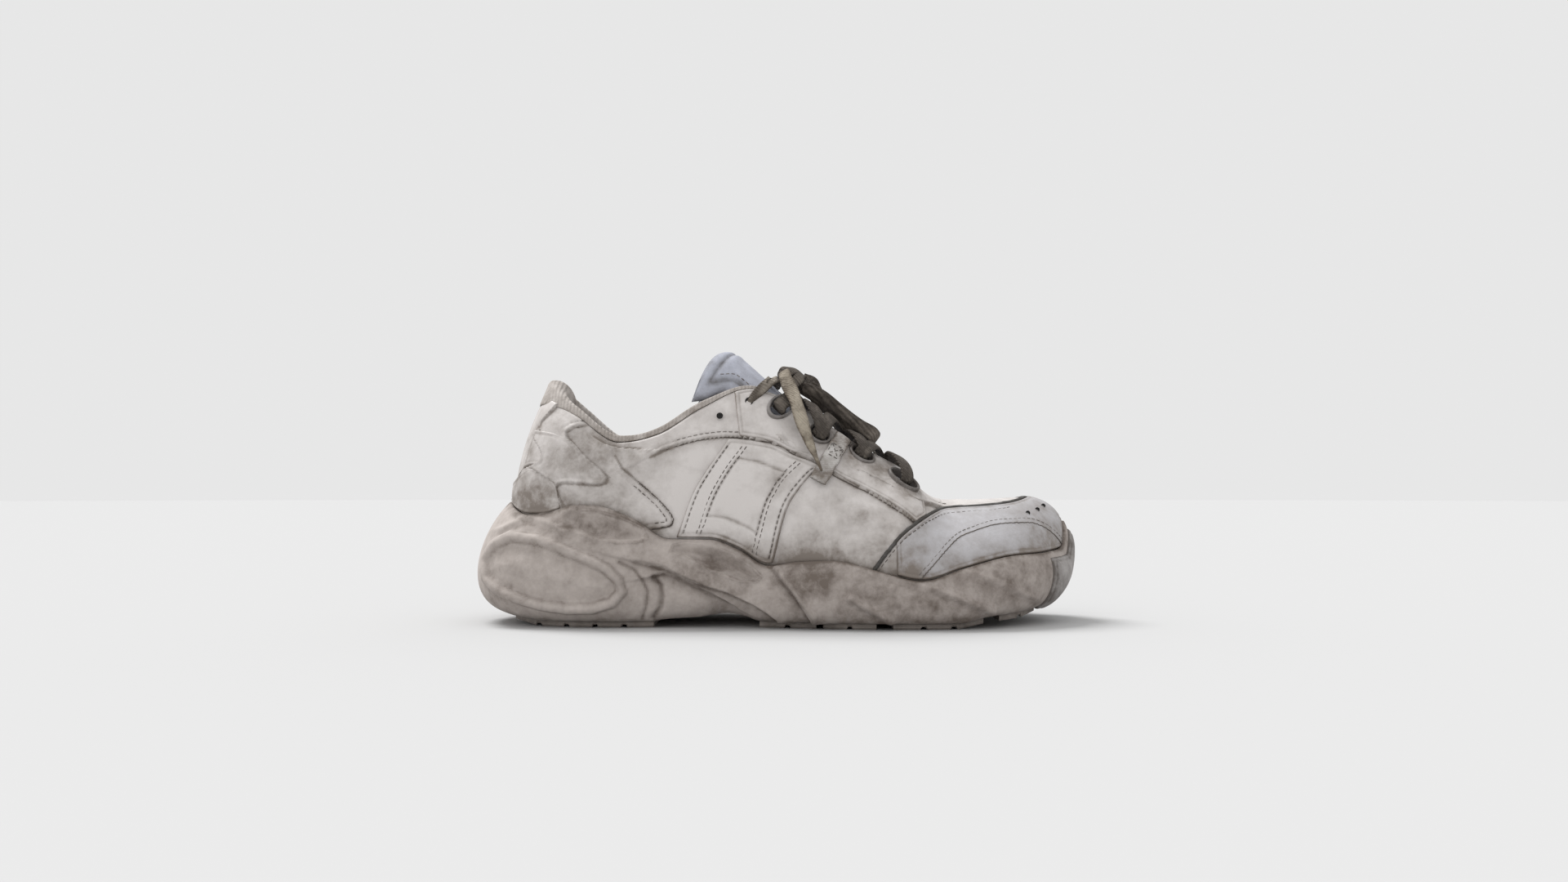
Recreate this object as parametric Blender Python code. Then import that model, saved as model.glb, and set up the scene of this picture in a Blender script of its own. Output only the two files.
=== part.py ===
"""A worn running shoe, right foot, empty and unbent, standing on its sole.

The toe points along +X, the outer side along -Y, and the floor is z = 0. Stations run round the
last: 0 at the middle of the heel, 13 at the middle of the toe, and on along the inner side to 26.
"""

import math

import bmesh
import bpy
import numpy as np
from mathutils import Matrix

# Driving dimensions, in metres
LENGTH = 0.2855
WIDTH = 0.109
COLLAR_HEIGHT = 0.110
TONGUE_HEIGHT = 0.128
HEEL_BED = 0.031
TOE_BED = 0.0215
LIP_HEIGHT = 0.058
GUARD_TOP = 0.059
ARCH_RISE = 0.0088
TOE_SPRING = 0.0062
WALL = 0.002
GAP = 0.0003
SEAT = 0.0004
OVERLAY = 0.0012
LIP = 0.0020
OUTSOLE = 0.0025
BUMPER = 0.0025
LUG_GROOVE = 0.0012
INSOLE = 0.0040
INSOLE_CLEAR = 0.0010
ROLL = 0.0042
HEEL_PAD = 0.0110
SIDE_PAD = 0.0048
TONGUE_THICK = 0.0055
LACE_WIDTH = 0.0068
LACE_THICK = 0.0016
RING_WIDTH = 0.0018
RING_HEIGHT = 0.0012
TAB_WIDTH = 0.0080
POD_RELIEF = 0.0016
DIMPLE_DEPTH = 0.0022
LACE_CLEAR = 0.0010
LACE_OVER = 0.0004
TAB_CLEAR = 0.0003
RING_ROUND = 0.0004
CUT_REACH = 0.008

TOE = 13
ROUND = 2 * TOE
THROAT_END = 10
COLLAR_END = 5 + 1 / 3
COLUMNS_PER_STATION = 3
COLUMNS = ROUND * COLUMNS_PER_STATION
UPPER_ROWS = 8
SOLE_ROWS = 9
OVERLAY_ROWS = 6

# Each row is a station of the last: the base's x, half width and inner share of it, the middle's
# y, then the x and half width of the low handle and its share of the rise, the same of the high
# handle, and the rim's x, half width and height. Lengths are shares of LENGTH and widths of WIDTH;
# the rim's height is a share of COLLAR_HEIGHT.
LAST = (
    (-0.416, 0.000, 1.00, 0.000, -0.460, 0.000, 0.20, -0.430, 0.000, 0.70, -0.386, 0.000, 0.985),
    (-0.400, 0.174, 1.00, 0.000, -0.430, 0.229, 0.20, -0.404, 0.202, 0.70, -0.368, 0.119, 0.955),
    (-0.344, 0.275, 0.98, 0.000, -0.356, 0.344, 0.22, -0.333, 0.294, 0.70, -0.322, 0.220, 0.875),
    (-0.260, 0.307, 0.93, 0.000, -0.263, 0.376, 0.25, -0.256, 0.330, 0.70, -0.253, 0.266, 0.762),
    (-0.168, 0.312, 0.86, 0.000, -0.172, 0.385, 0.27, -0.182, 0.344, 0.70, -0.189, 0.280, 0.795),
    (-0.084, 0.321, 0.83, 0.000, -0.091, 0.399, 0.28, -0.112, 0.339, 0.72, -0.119, 0.271, 0.905),
    (-0.007, 0.344, 0.84, 0.000, -0.014, 0.427, 0.28, -0.035, 0.335, 0.78, -0.042, 0.220, 0.988),
    (0.070, 0.385, 0.87, 0.000, 0.065, 0.468, 0.28, 0.049, 0.330, 0.84, 0.042, 0.176, 0.905),
    (0.140, 0.422, 0.89, 0.000, 0.140, 0.495, 0.30, 0.126, 0.330, 0.87, 0.121, 0.156, 0.764),
    (0.211, 0.436, 0.92, 0.000, 0.212, 0.505, 0.33, 0.204, 0.325, 0.92, 0.200, 0.119, 0.650),
    (0.288, 0.417, 0.95, 0.005, 0.291, 0.491, 0.38, 0.277, 0.275, 1.00, 0.272, 0.000, 0.516),
    (0.379, 0.339, 0.92, 0.028, 0.390, 0.408, 0.42, 0.354, 0.220, 1.03, 0.337, 0.000, 0.520),
    (0.435, 0.179, 1.00, 0.041, 0.470, 0.220, 0.42, 0.439, 0.125, 1.04, 0.375, 0.000, 0.526),
    (0.450, 0.000, 1.00, 0.055, 0.502, 0.000, 0.40, 0.493, 0.000, 1.04, 0.389, 0.000, 0.528),
)

# The sole at the same stations: the ground edge's x and half width, and how far the foam flares
# out low and high.
SOLE = (
    (-0.4386, 0.000, 0.0912, 0.0560),
    (-0.4175, 0.202, 0.0760, 0.0500),
    (-0.3540, 0.312, 0.0480, 0.0420),
    (-0.2600, 0.349, 0.0370, 0.0340),
    (-0.1680, 0.335, 0.0350, 0.0300),
    (-0.0840, 0.326, 0.0350, 0.0280),
    (-0.0070, 0.362, 0.0340, 0.0240),
    (0.0700, 0.408, 0.0320, 0.0190),
    (0.1400, 0.443, 0.0230, 0.0140),
    (0.2105, 0.451, 0.0190, 0.0120),
    (0.2880, 0.432, 0.0240, 0.0160),
    (0.3790, 0.335, 0.0300, 0.0200),
    (0.4230, 0.165, 0.0360, 0.0230),
    (0.4350, 0.000, 0.0400, 0.0250),
)

# Outlines from the side, as shares of LENGTH and of the height that each follows
LIP_LINE = (
    (-0.446, 1.000), (-0.419, 0.910), (-0.394, 0.872), (-0.369, 0.876), (-0.317, 0.948),
    (-0.289, 0.945), (-0.225, 0.845), (-0.169, 0.693), (-0.105, 0.688), (-0.059, 0.612),
    (-0.012, 0.490), (0.036, 0.522), (0.089, 0.529), (0.154, 0.459), (0.226, 0.381),
    (0.288, 0.460), (0.359, 0.541), (0.436, 0.574), (0.466, 0.600), (0.477, 0.800),
)
BED_LINE = ((-0.42, 1.0), (-0.26, 0.95), (-0.084, 0.50), (0.0, 0.14), (0.14, -0.32), (0.26, -0.32),
            (0.36, -0.08), (0.45, 0.10))
GROUND_LINE = ((-0.47, 0.74), (-0.4386, 0.47), (-0.368, 0.0), (0.0, 0.0), (0.288, 0.0),
               (0.317, 0.30), (0.393, 0.64), (0.446, 1.0))
ARCH_LINE = ((-0.194, 0.0), (-0.18, 0.096), (-0.12, 0.24), (-0.078, 0.42), (-0.045, 0.252),
             (-0.028, 0.06), (0.0, 0.0))
GUARD_LINE = ((0.152, 0.44), (0.174, 0.58), (0.192, 0.68), (0.216, 0.775), (0.241, 0.845),
              (0.269, 0.885), (0.347, 0.910), (0.392, 0.938), (0.430, 0.985))
FACING_LINE = ((-0.120, 0.770), (-0.079, 0.785), (-0.011, 0.762), (0.025, 0.718), (0.059, 0.682),
               (0.100, 0.615), (0.147, 0.554), (0.198, 0.473), (0.226, 0.419), (0.250, 0.400))
COUNTER_LINE = ((-0.450, 0.560), (-0.424, 0.610), (-0.395, 0.655), (-0.352, 0.590),
                (-0.342, 0.495), (-0.330, 0.420))
BAND_LINE = ((-0.4300, 0.830), (-0.395, 0.820), (-0.3350, 0.780), (-0.2970, 0.680),
             (-0.2690, 0.614), (-0.262, 0.600))
POINT_LINE = ((-0.5, 0.602), (-0.2, 0.602))
SADDLE_BACK = ((0.24, -0.160), (0.50, -0.120), (0.90, -0.055))
SADDLE_FRONT = ((0.24, -0.010), (0.50, 0.025), (0.90, 0.085))

# The stations that each overlay spans, and how far its edges stay from its neighbours' and the
# rim, as shares of the wall's height
GUARD_START = 8.67
FACING_SPAN = (5.67, 9.4)
BAND_SPAN = (0.90, 2.95)
COUNTER_SPAN = (-2.05, 2.05)
BUMPER_START = 11.67
EDGE_CLEAR = 0.012
FACING_CLEAR = 0.015
LEAST_HEIGHT = 0.02
FACING_TOP = 0.995
GUARD_MOST = 0.90
BUMPER_SPAN = (0.04, 0.90)

# Forms in the foam's side: the pod at the heel, its centre and half sizes as shares of LENGTH and
# LIP_HEIGHT, its tilt and its rim's width; and the dimples, each with its centre, half sizes and
# slope
POD_CENTRE = (-0.358, 0.425)
POD_SIZE = (0.114, 0.25)
POD_TILT = -10.5
POD_RIM = 0.20
DIMPLES = ((-0.27, 0.76, 0.055, 0.13, 0.0), (-0.09, 0.52, 0.060, 0.16, -1.6))
RELIEF_END = 2.5
LOW_HANDLE = 0.02
HIGH_HANDLE = 0.30

# The rubber pads: name, first and last x as shares of LENGTH, and the number of lugs
PADS = (
    ("heel", -0.425, -0.194, 5), ("rear", -0.026, 0.063, 2), ("middle", 0.074, 0.156, 2),
    ("front", 0.182, 0.325, 3), ("toe", 0.352, 0.424, 2),
)
PAD_INSET = 0.018
GROOVE_WALL = 0.06
LUG_SLANT = 0.35

# The lace windows: label, x and z shares, half width, half height and turn
WINDOWS = (
    ("a", 0.0060, 0.905, 0.0042, 0.0070, -35),
    ("b", 0.0680, 0.788, 0.0043, 0.0042, -20),
    ("c", 0.1370, 0.702, 0.0052, 0.0044, -20),
    ("d", 0.2030, 0.598, 0.0070, 0.0046, -25),
)

# The tongue's middle line from under the vamp to its top: x as a share of LENGTH, z as a share of
# COLLAR_HEIGHT and of the tongue's reach above the collar, the radius of its half pipe as a share
# of WIDTH, its half angle, and its lean from upright
TONGUE = (
    (0.262, 0.479, 0.00, 0.275, 20, 30),
    (0.236, 0.538, 0.00, 0.275, 32, 33),
    (0.200, 0.605, 0.00, 0.275, 42, 36),
    (0.160, 0.675, 0.00, 0.266, 48, 37),
    (0.120, 0.749, 0.00, 0.266, 50, 38),
    (0.080, 0.829, 0.00, 0.257, 52, 39),
    (0.040, 0.910, 0.00, 0.248, 54, 39),
    (0.010, 0.947, 0.20, 0.239, 58, 39),
    (-0.020, 0.968, 0.50, 0.239, 64, 39),
    (-0.045, 0.977, 0.80, 0.239, 66, 39),
    (-0.064, 0.990, 0.95, 0.229, 86, 39),
    (-0.076, 1.000, 1.00, 0.229, 90, 40),
)

# The laces: how far the crossings lie over the tongue, the knot's place as shares of LENGTH,
# WIDTH and COLLAR_HEIGHT, its size, and the cords' routes from it
LACE_LIFT = 0.0032
RIM_STEP = 0.22
CORD = 0.0040
KNOT = (0.026, -0.030, 1.0415)
KNOT_SIZE = (0.017, 0.015, 0.009)
LOOP_NEAR = (
    (0.0085, -0.0035, -0.0020), (0.0115, -0.0045, -0.0085), (0.0223, -0.0055, -0.0185),
    (0.0333, -0.0060, -0.0270), (0.0380, -0.0068, -0.0290), (0.0396, -0.0092, -0.0285),
    (0.0376, -0.0118, -0.0262), (0.0323, -0.0118, -0.0230), (0.0213, -0.0112, -0.0145),
    (0.0110, -0.0108, -0.0070), (0.0050, -0.0100, -0.0045),
)
LOOP_FAR = (
    (0.0064, 0.0051, 0.0010), (0.0100, 0.0090, -0.0005), (0.0120, 0.0120, -0.0040),
    (0.0145, 0.0140, -0.0080), (0.0180, 0.0160, -0.0120), (0.0205, 0.0185, -0.0140),
    (0.0190, 0.0225, -0.0130), (0.0155, 0.0220, -0.0100), (0.0110, 0.0195, -0.0065),
    (0.0070, 0.0165, -0.0040), (0.0030, 0.0135, -0.0020),
)
END_NEAR_START = ((-0.0040, -0.0105, 0.0030), (-0.0030, -0.0180, -0.0010))
END_NEAR = (
    (0.022, 0.870, 0.0100), (0.033, 0.810, 0.0085), (0.048, 0.740, 0.0062),
    (0.060, 0.680, 0.0062), (0.070, 0.620, 0.0062),
)
END_FAR = ((-0.0035, 0.0066, 0.0005), (-0.0080, 0.0175, -0.0010), (-0.0090, 0.0245, -0.0030))
TAB_PLACES = ((0.1035, 0.768), (0.092, 0.715), (0.076, 0.645), (0.065, 0.590))

SKIN = (0.56, 0.53, 0.50, 1.0)
LOOKS = {
    "foam": ((0.40, 0.36, 0.34, 1.0), 0.75),
    "rubber": ((0.10, 0.09, 0.085, 1.0), 0.80),
    "insole": ((0.30, 0.31, 0.33, 1.0), 0.90),
    "leather": (SKIN, 0.55),
    "overlay": ((0.60, 0.57, 0.54, 1.0), 0.50),
    "guard": ((0.46, 0.46, 0.50, 1.0), 0.50),
    "knit": ((0.45, 0.41, 0.38, 1.0), 0.90),
    "tongue": ((0.50, 0.52, 0.58, 1.0), 0.80),
    "ring": ((0.30, 0.29, 0.29, 1.0), 0.45),
    "webbing": ((0.38, 0.35, 0.32, 1.0), 0.85),
    "lace": ((0.14, 0.115, 0.09, 1.0), 0.90),
    "lace end": ((0.52, 0.48, 0.40, 1.0), 0.90),
}


def clear_scene():
    for thing in list(bpy.data.objects):
        bpy.data.objects.remove(thing)


def smooth(knots, values, at):
    """A smooth curve through the values, without overshoot."""
    knots = np.asarray(knots, float)
    values = np.asarray(values, float)
    at = np.clip(np.asarray(at, float), knots[0], knots[-1])
    step = np.diff(knots)
    rise = np.diff(values) / step
    slope = np.zeros(len(knots))
    mean = (rise[:-1] * step[1:] + rise[1:] * step[:-1]) / (step[:-1] + step[1:])
    most = 2.0 * np.minimum(abs(rise[:-1]), abs(rise[1:]))
    slope[1:-1] = np.where(rise[:-1] * rise[1:] > 0, np.sign(mean) * np.minimum(abs(mean), most), 0)
    slope[0] = rise[0]
    slope[-1] = rise[-1]
    i = np.clip(np.searchsorted(knots, at, side="right") - 1, 0, len(step) - 1)
    t = (at - knots[i]) / step[i]
    a = (1 + 2 * t) * (1 - t) ** 2 * values[i] + t**2 * (3 - 2 * t) * values[i + 1]
    b = t * (1 - t) ** 2 * slope[i] - t**2 * (1 - t) * slope[i + 1]
    return a + b * step[i]


def round_curve(values, u):
    """The smooth curve round the last through a value for each of the 26 stations."""
    knots = np.arange(-2, ROUND + 3)
    return smooth(knots, np.asarray(values)[knots % ROUND], np.mod(u, ROUND))


def outline(line, x, height):
    """The height of a side outline at x."""
    points = np.array(line)
    return smooth(points[:, 0] * LENGTH, points[:, 1] * height, x)


def bed(x):
    """The height of the footbed's foam."""
    mean = 0.5 * (HEEL_BED + TOE_BED)
    half = 0.5 * (HEEL_BED - TOE_BED)
    points = np.array(BED_LINE)
    return smooth(points[:, 0] * LENGTH, mean + half * (2 * points[:, 1] - 1), x)


def ground(x):
    """The lowest surface of the rubber under x."""
    return outline(GROUND_LINE, x, TOE_SPRING)


def underside(x):
    """The foam's lower surface: above the rubber, and free in the arch."""
    arch = np.maximum(outline(ARCH_LINE, x, ARCH_RISE), 0)
    inside = (x > ARCH_LINE[0][0] * LENGTH) & (x < ARCH_LINE[-1][0] * LENGTH)
    return ground(x) + OUTSOLE + GAP + np.where(inside, arch, 0)


def both_sides(rows, half, ratio=None):
    """The signed half width at every station round the last, the inner side by its share."""
    table = np.array(rows)
    share = np.ones(len(table)) if ratio is None else ratio
    width = table[:, half] * WIDTH
    return np.concatenate([-width, (width * share)[-2:0:-1]])


def mirrored(values):
    return np.concatenate([values, values[-2:0:-1]])


MIDDLE = mirrored(np.array(LAST)[:, 3] * WIDTH)


def controls():
    """The four curves round the last that the skin lies between."""
    table = np.array(LAST)
    share = table[:, 2]
    base_x = table[:, 0] * LENGTH
    base_z = bed(base_x) + GAP
    rim_z = table[:, 12] * COLLAR_HEIGHT
    low_z = base_z + table[:, 6] * (rim_z - base_z)
    high_z = base_z + table[:, 9] * (rim_z - base_z)
    curves = (
        (base_x, both_sides(LAST, 1, share), base_z),
        (table[:, 4] * LENGTH, both_sides(LAST, 5, 0.5 + 0.5 * share), low_z),
        (table[:, 7] * LENGTH, both_sides(LAST, 8), high_z),
        (table[:, 10] * LENGTH, both_sides(LAST, 11), rim_z),
    )
    return [np.stack([mirrored(x), y, mirrored(z)], axis=1) for x, y, z in curves]


CONTROLS = controls()


def bezier(points, v):
    a, b, c, d = points
    v = v[..., None]
    return (1 - v) ** 3 * a + 3 * v * (1 - v) ** 2 * b + 3 * v**2 * (1 - v) * c + v**3 * d


def at_station(curve, u):
    x, y, z = (round_curve(curve[:, k], u) for k in range(3))
    return np.stack([x, y + round_curve(MIDDLE, u), z], axis=-1)


def last_point(u, v):
    u, v = np.broadcast_arrays(np.asarray(u, float), np.asarray(v, float))
    return bezier([at_station(curve, u) for curve in CONTROLS], v)


def unit(vector):
    return vector / np.maximum(np.linalg.norm(vector, axis=-1, keepdims=True), 1e-12)


def normal_of(surface, u, v):
    """The outward normal of a surface over station and height."""
    du, dv = 0.02, 0.004
    low, high = np.clip(v - dv, 0, 1), np.clip(v + dv, 0, 1)
    along = surface(u + du, v) - surface(u - du, v)
    up = surface(u, high) - surface(u, low)
    return unit(np.cross(along, up))


def skin(u, v, out):
    """A point at a distance outside the last's skin."""
    u, v, out = np.broadcast_arrays(*(np.asarray(a, float) for a in (u, v, out)))
    normal = normal_of(last_point, u, v)
    from_toe = abs(np.mod(u, ROUND) - TOE)
    ridge = np.clip((v - 0.90) / 0.10, 0, 1) * (from_toe <= TOE - THROAT_END + 1e-6)
    ridge = (ridge**2 * (3 - 2 * ridge))[..., None]
    normal = unit(normal * (1 - ridge) + np.array([0.0, 0.0, 1.0]) * ridge)
    return last_point(u, v) + normal * out[..., None]


def height_where(test, u):
    """The share of the wall's height where the test turns from negative to positive."""
    u = np.asarray(u, float)
    low, high = np.zeros(u.shape), np.ones(u.shape)
    for _ in range(26):
        middle = 0.5 * (low + high)
        above = test(last_point(u, middle)) > 0
        high = np.where(above, middle, high)
        low = np.where(above, low, middle)
    return 0.5 * (low + high)


def line_height(line, height, u, more=0.0):
    return height_where(lambda p: p[..., 2] - outline(line, p[..., 0], height) - more, u)


def lip_height(u):
    return line_height(LIP_LINE, LIP_HEIGHT, u)


def outward(u):
    """The level direction away from the last at a station."""
    ahead = at_station(CONTROLS[0], u + 0.05) - at_station(CONTROLS[0], u - 0.05)
    return unit(np.stack([ahead[..., 1], -ahead[..., 0], 0 * ahead[..., 0]], axis=-1))


def sole_controls(u):
    table = np.array(SOLE)
    ratio = 0.5 + 0.5 * np.array(LAST)[:, 2]
    x = round_curve(mirrored(table[:, 0] * LENGTH), u)
    y = round_curve(both_sides(SOLE, 1, ratio), u) + round_curve(MIDDLE, u)
    edge = np.stack([x, y, underside(x)], axis=-1)
    low = round_curve(mirrored(table[:, 2] * LENGTH), u)[..., None]
    high = round_curve(mirrored(table[:, 3] * LENGTH), u)[..., None]
    lip = skin(u, lip_height(u), GAP + LIP)
    away = outward(u)
    upward = np.array([0.0, 0.0, 1.0])
    rise = (lip[..., 2:] - edge[..., 2:])
    above_edge = edge + away * low + upward * LOW_HANDLE * rise
    below_lip = lip + away * high - upward * HIGH_HANDLE * rise
    return edge, above_edge, below_lip, lip


def sole_point(u, v):
    u, v = np.broadcast_arrays(np.asarray(u, float), np.asarray(v, float))
    return bezier(sole_controls(u), v)


def bump(distance, width):
    return np.exp(-((distance / width) ** 2))


def relief(point):
    """How far the foam's side stands out: the ring at the heel and the two dimples."""
    x, z = point[..., 0] / LENGTH, point[..., 2] / LIP_HEIGHT
    turn = math.radians(POD_TILT)
    a = (x - POD_CENTRE[0]) * LENGTH
    b = (z - POD_CENTRE[1]) * LIP_HEIGHT
    along = a * math.cos(turn) + b * math.sin(turn)
    across = b * math.cos(turn) - a * math.sin(turn)
    ring = np.hypot(along / (POD_SIZE[0] * LENGTH), across / (POD_SIZE[1] * LIP_HEIGHT))
    out = POD_RELIEF * bump(ring - 1.0, POD_RIM)
    for mid_x, mid_z, half_x, half_z, slope in DIMPLES:
        drop = z - mid_z - slope * (x - mid_x)
        out = out - DIMPLE_DEPTH * bump(x - mid_x, half_x) * bump(drop, half_z)
    return out


def sole_skin(u, v, out):
    """A point at a distance outside the foam's side."""
    u, v, out = np.broadcast_arrays(*(np.asarray(a, float) for a in (u, v, out)))
    point = sole_point(u, v)
    fade = np.sin(np.pi * np.clip(v, 0, 1)) ** 0.5
    from_toe = abs(np.mod(u, ROUND) - TOE)
    fade = fade * np.clip(from_toe - RELIEF_END, 0, 1)
    return point + normal_of(sole_point, u, v) * (out + relief(point) * fade)[..., None]


def material(look):
    colour, roughness = LOOKS[look]
    made = bpy.data.materials.new(look)
    made.use_nodes = True
    shader = made.node_tree.nodes["Principled BSDF"]
    shader.inputs["Base Color"].default_value = colour
    shader.inputs["Roughness"].default_value = roughness
    shader.inputs["Metallic"].default_value = 0.0
    made.diffuse_color = colour
    return made


def object_of(name, mesh, look, parent):
    made = bpy.data.objects.new(name, mesh)
    made.data.materials.append(material(look))
    made.parent = parent
    bpy.context.scene.collection.objects.link(made)
    return made


def mesh_of(name, points, faces):
    """A mesh with its doubled points joined and its faces turned outwards."""
    mesh = bpy.data.meshes.new(name)
    mesh.from_pydata([tuple(p) for p in points], [], faces)
    work = bmesh.new()
    work.from_mesh(mesh)
    bmesh.ops.remove_doubles(work, verts=work.verts, dist=2e-6)
    bmesh.ops.triangulate(work, faces=work.faces)
    bmesh.ops.recalc_face_normals(work, faces=work.faces)
    if work.calc_volume(signed=True) < 0:
        bmesh.ops.reverse_faces(work, faces=work.faces)
    work.to_mesh(mesh)
    work.free()
    mesh.shade_smooth()
    mesh.set_sharp_from_angle(angle=math.radians(40))
    return mesh


def swept(name, rings, look, parent, closed=False):
    """A solid through rings of points, each a closed section; closed joins the last to the first."""
    rings = np.asarray(rings)
    count, size = rings.shape[:2]
    faces = []
    for i in range(count if closed else count - 1):
        k = (i + 1) % count
        for j in range(size):
            m = (j + 1) % size
            faces.append((i * size + j, k * size + j, k * size + m, i * size + m))
    if not closed:
        faces.append(tuple(range(size)))
        faces.append(tuple((count - 1) * size + j for j in range(size)))
    return object_of(name, mesh_of(name, rings.reshape(-1, 3), faces), look, parent)


def lid(faces, ring):
    """Faces across a ring of points whose outer and inner sides pair up."""
    count = len(ring)
    for j in range(count // 2):
        a, b = ring[j], ring[j + 1]
        c, d = ring[(count - j - 1) % count], ring[(count - j) % count]
        face = tuple(dict.fromkeys((a, b, c, d)))
        faces.append(face)


def upper(root):
    """The hollow upper: two skins, joined round the base and round the collar and throat."""
    u = np.arange(COLUMNS) / COLUMNS_PER_STATION
    v = np.linspace(0, 1, UPPER_ROWS + 1)
    outer = skin(u[None, :], v[:, None], 0.0)
    inner = skin(u[None, :], v[:, None], -WALL)
    inner[0, :, 2] = outer[0, :, 2]
    points = np.concatenate([outer.reshape(-1, 3), inner.reshape(-1, 3)])
    half = outer.shape[0] * COLUMNS
    faces = []
    for j in range(COLUMNS):
        k = (j + 1) % COLUMNS
        for i in range(UPPER_ROWS):
            a, b, c, d = i * COLUMNS + j, i * COLUMNS + k, (i + 1) * COLUMNS + k, (i + 1) * COLUMNS + j
            faces.append((a, b, c, d))
            faces.append((half + d, half + c, half + b, half + a))
        faces.append((j, half + j, half + k, k))
        top = UPPER_ROWS * COLUMNS
        ends = [abs(np.mod(u[m] + TOE, ROUND) - TOE) for m in (j, k)]
        if max(ends) <= THROAT_END + 1e-6:
            faces.append((top + j, top + k, half + top + k, half + top + j))
    return object_of("upper", mesh_of("upper", points, faces), "leather", root)


def midsole(root):
    """The foam cup: side, lip, inner wall, bed and underside."""
    u = np.arange(COLUMNS) / COLUMNS_PER_STATION
    lip = lip_height(u)
    rings = [sole_skin(u, share, 0.0) for share in np.linspace(0, 1, SOLE_ROWS + 1)]
    rings += [skin(u, lip * share, GAP) for share in (1.0, 0.8, 0.6, 0.4, 0.2, 0.0)]
    rings[-1][:, 2] = bed(rings[-1][:, 0])
    points = np.array(rings)
    count = len(points)
    faces = []
    for i in range(count - 1):
        for j in range(COLUMNS):
            k = (j + 1) % COLUMNS
            faces.append((i * COLUMNS + j, i * COLUMNS + k, (i + 1) * COLUMNS + k, (i + 1) * COLUMNS + j))
    lid(faces, list(range(COLUMNS)))
    lid(faces, [(count - 1) * COLUMNS + j for j in range(COLUMNS)])
    mesh = mesh_of("midsole", points.reshape(-1, 3), faces)
    return object_of("midsole", mesh, "foam", root)


def insole(root):
    u = np.arange(COLUMNS) / COLUMNS_PER_STATION
    top_height = height_where(lambda p: p[..., 2] - bed(p[..., 0]) - GAP - INSOLE, u)
    inset = -WALL - GAP - INSOLE_CLEAR
    low = skin(u, 0.0, inset)
    low[:, 2] = bed(low[:, 0]) + GAP
    high = skin(u, top_height, inset)
    high[:, 2] = bed(high[:, 0]) + GAP + INSOLE
    points = np.concatenate([low, high])
    faces = []
    for j in range(COLUMNS):
        k = (j + 1) % COLUMNS
        faces.append((j, k, COLUMNS + k, COLUMNS + j))
    lid(faces, list(range(COLUMNS)))
    lid(faces, [COLUMNS + j for j in range(COLUMNS)])
    return object_of("insole", mesh_of("insole", points, faces), "insole", root)


def columns_between(start, end):
    """The upper's own columns from one station to another, so that overlays lie on its facets."""
    inner = np.arange(math.ceil(start * COLUMNS_PER_STATION - 1e-6), end * COLUMNS_PER_STATION + 1e-6)
    inner = inner / COLUMNS_PER_STATION
    ends = [s for s in (start, end) if np.min(abs(inner - s)) > 0.08]
    return np.sort(np.concatenate([inner, ends]))


def patch(name, u, low, high, look, root, base=SEAT, thick=OVERLAY, rows=OVERLAY_ROWS, surface=skin):
    """An overlay between two heights of the wall, along some of its stations."""
    share = np.linspace(0, 1, rows + 1)
    v = low[:, None] + (high - low)[:, None] * share[None, :]
    under = surface(u[:, None], v, base)
    over = surface(u[:, None], v, base + thick)
    rings = np.concatenate([over, under[:, ::-1]], axis=1)
    return swept(name, rings, look, root)


def toe_guard(root):
    u = columns_between(GUARD_START, ROUND - GUARD_START)
    low = lip_height(u) + EDGE_CLEAR
    high = np.minimum(line_height(GUARD_LINE, GUARD_TOP, u), GUARD_MOST)
    high = np.maximum(high, low + 1.5 * LEAST_HEIGHT)
    patch("toe_guard", u, low, high, "guard", root, rows=7)


def facings(root):
    for name, mirror in (("eyestay_outer", False), ("eyestay_inner", True)):
        u = columns_between(*FACING_SPAN)
        u = np.sort(ROUND - u) if mirror else u
        low = line_height(FACING_LINE, COLLAR_HEIGHT, u)
        low = np.maximum(low, line_height(GUARD_LINE, GUARD_TOP, u) + FACING_CLEAR)
        high = np.full(len(u), FACING_TOP)
        low = np.minimum(low, high - 2.5 * LEAST_HEIGHT)
        patch(name, u, low, high, "overlay", root)


def saddles(root):
    for name, mirror in (("saddle_outer", False), ("saddle_inner", True)):
        v_share = np.linspace(0, 1, 7)
        start, end = (np.interp(v_share, np.linspace(0, 1, 3), np.array(edge)[:, 1])
                      for edge in (SADDLE_BACK, SADDLE_FRONT))
        station_start = np.interp(start, np.array(LAST)[:TOE, 4], np.arange(TOE))
        station_end = np.interp(end, np.array(LAST)[:TOE, 4], np.arange(TOE))
        rings = []
        for share in np.linspace(0, 1, 9):
            u = station_start + (station_end - station_start) * share
            u = ROUND - u if mirror else u
            low = lip_height(u) + EDGE_CLEAR
            high = line_height(FACING_LINE, COLLAR_HEIGHT, u) - EDGE_CLEAR
            v = low + (high - low) * v_share
            over = skin(u, v, SEAT + OVERLAY)
            under = skin(u, v, SEAT)
            rings.append(np.concatenate([over, under[::-1]]))
        swept(name, rings, "overlay", root)


def heel_counter(root):
    u = columns_between(*COUNTER_SPAN)
    low = lip_height(u) + EDGE_CLEAR
    high = line_height(COUNTER_LINE, COLLAR_HEIGHT, u)
    high = np.maximum(high, low + LEAST_HEIGHT)
    patch("heel_counter", u, low, high, "overlay", root, rows=4)


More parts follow.
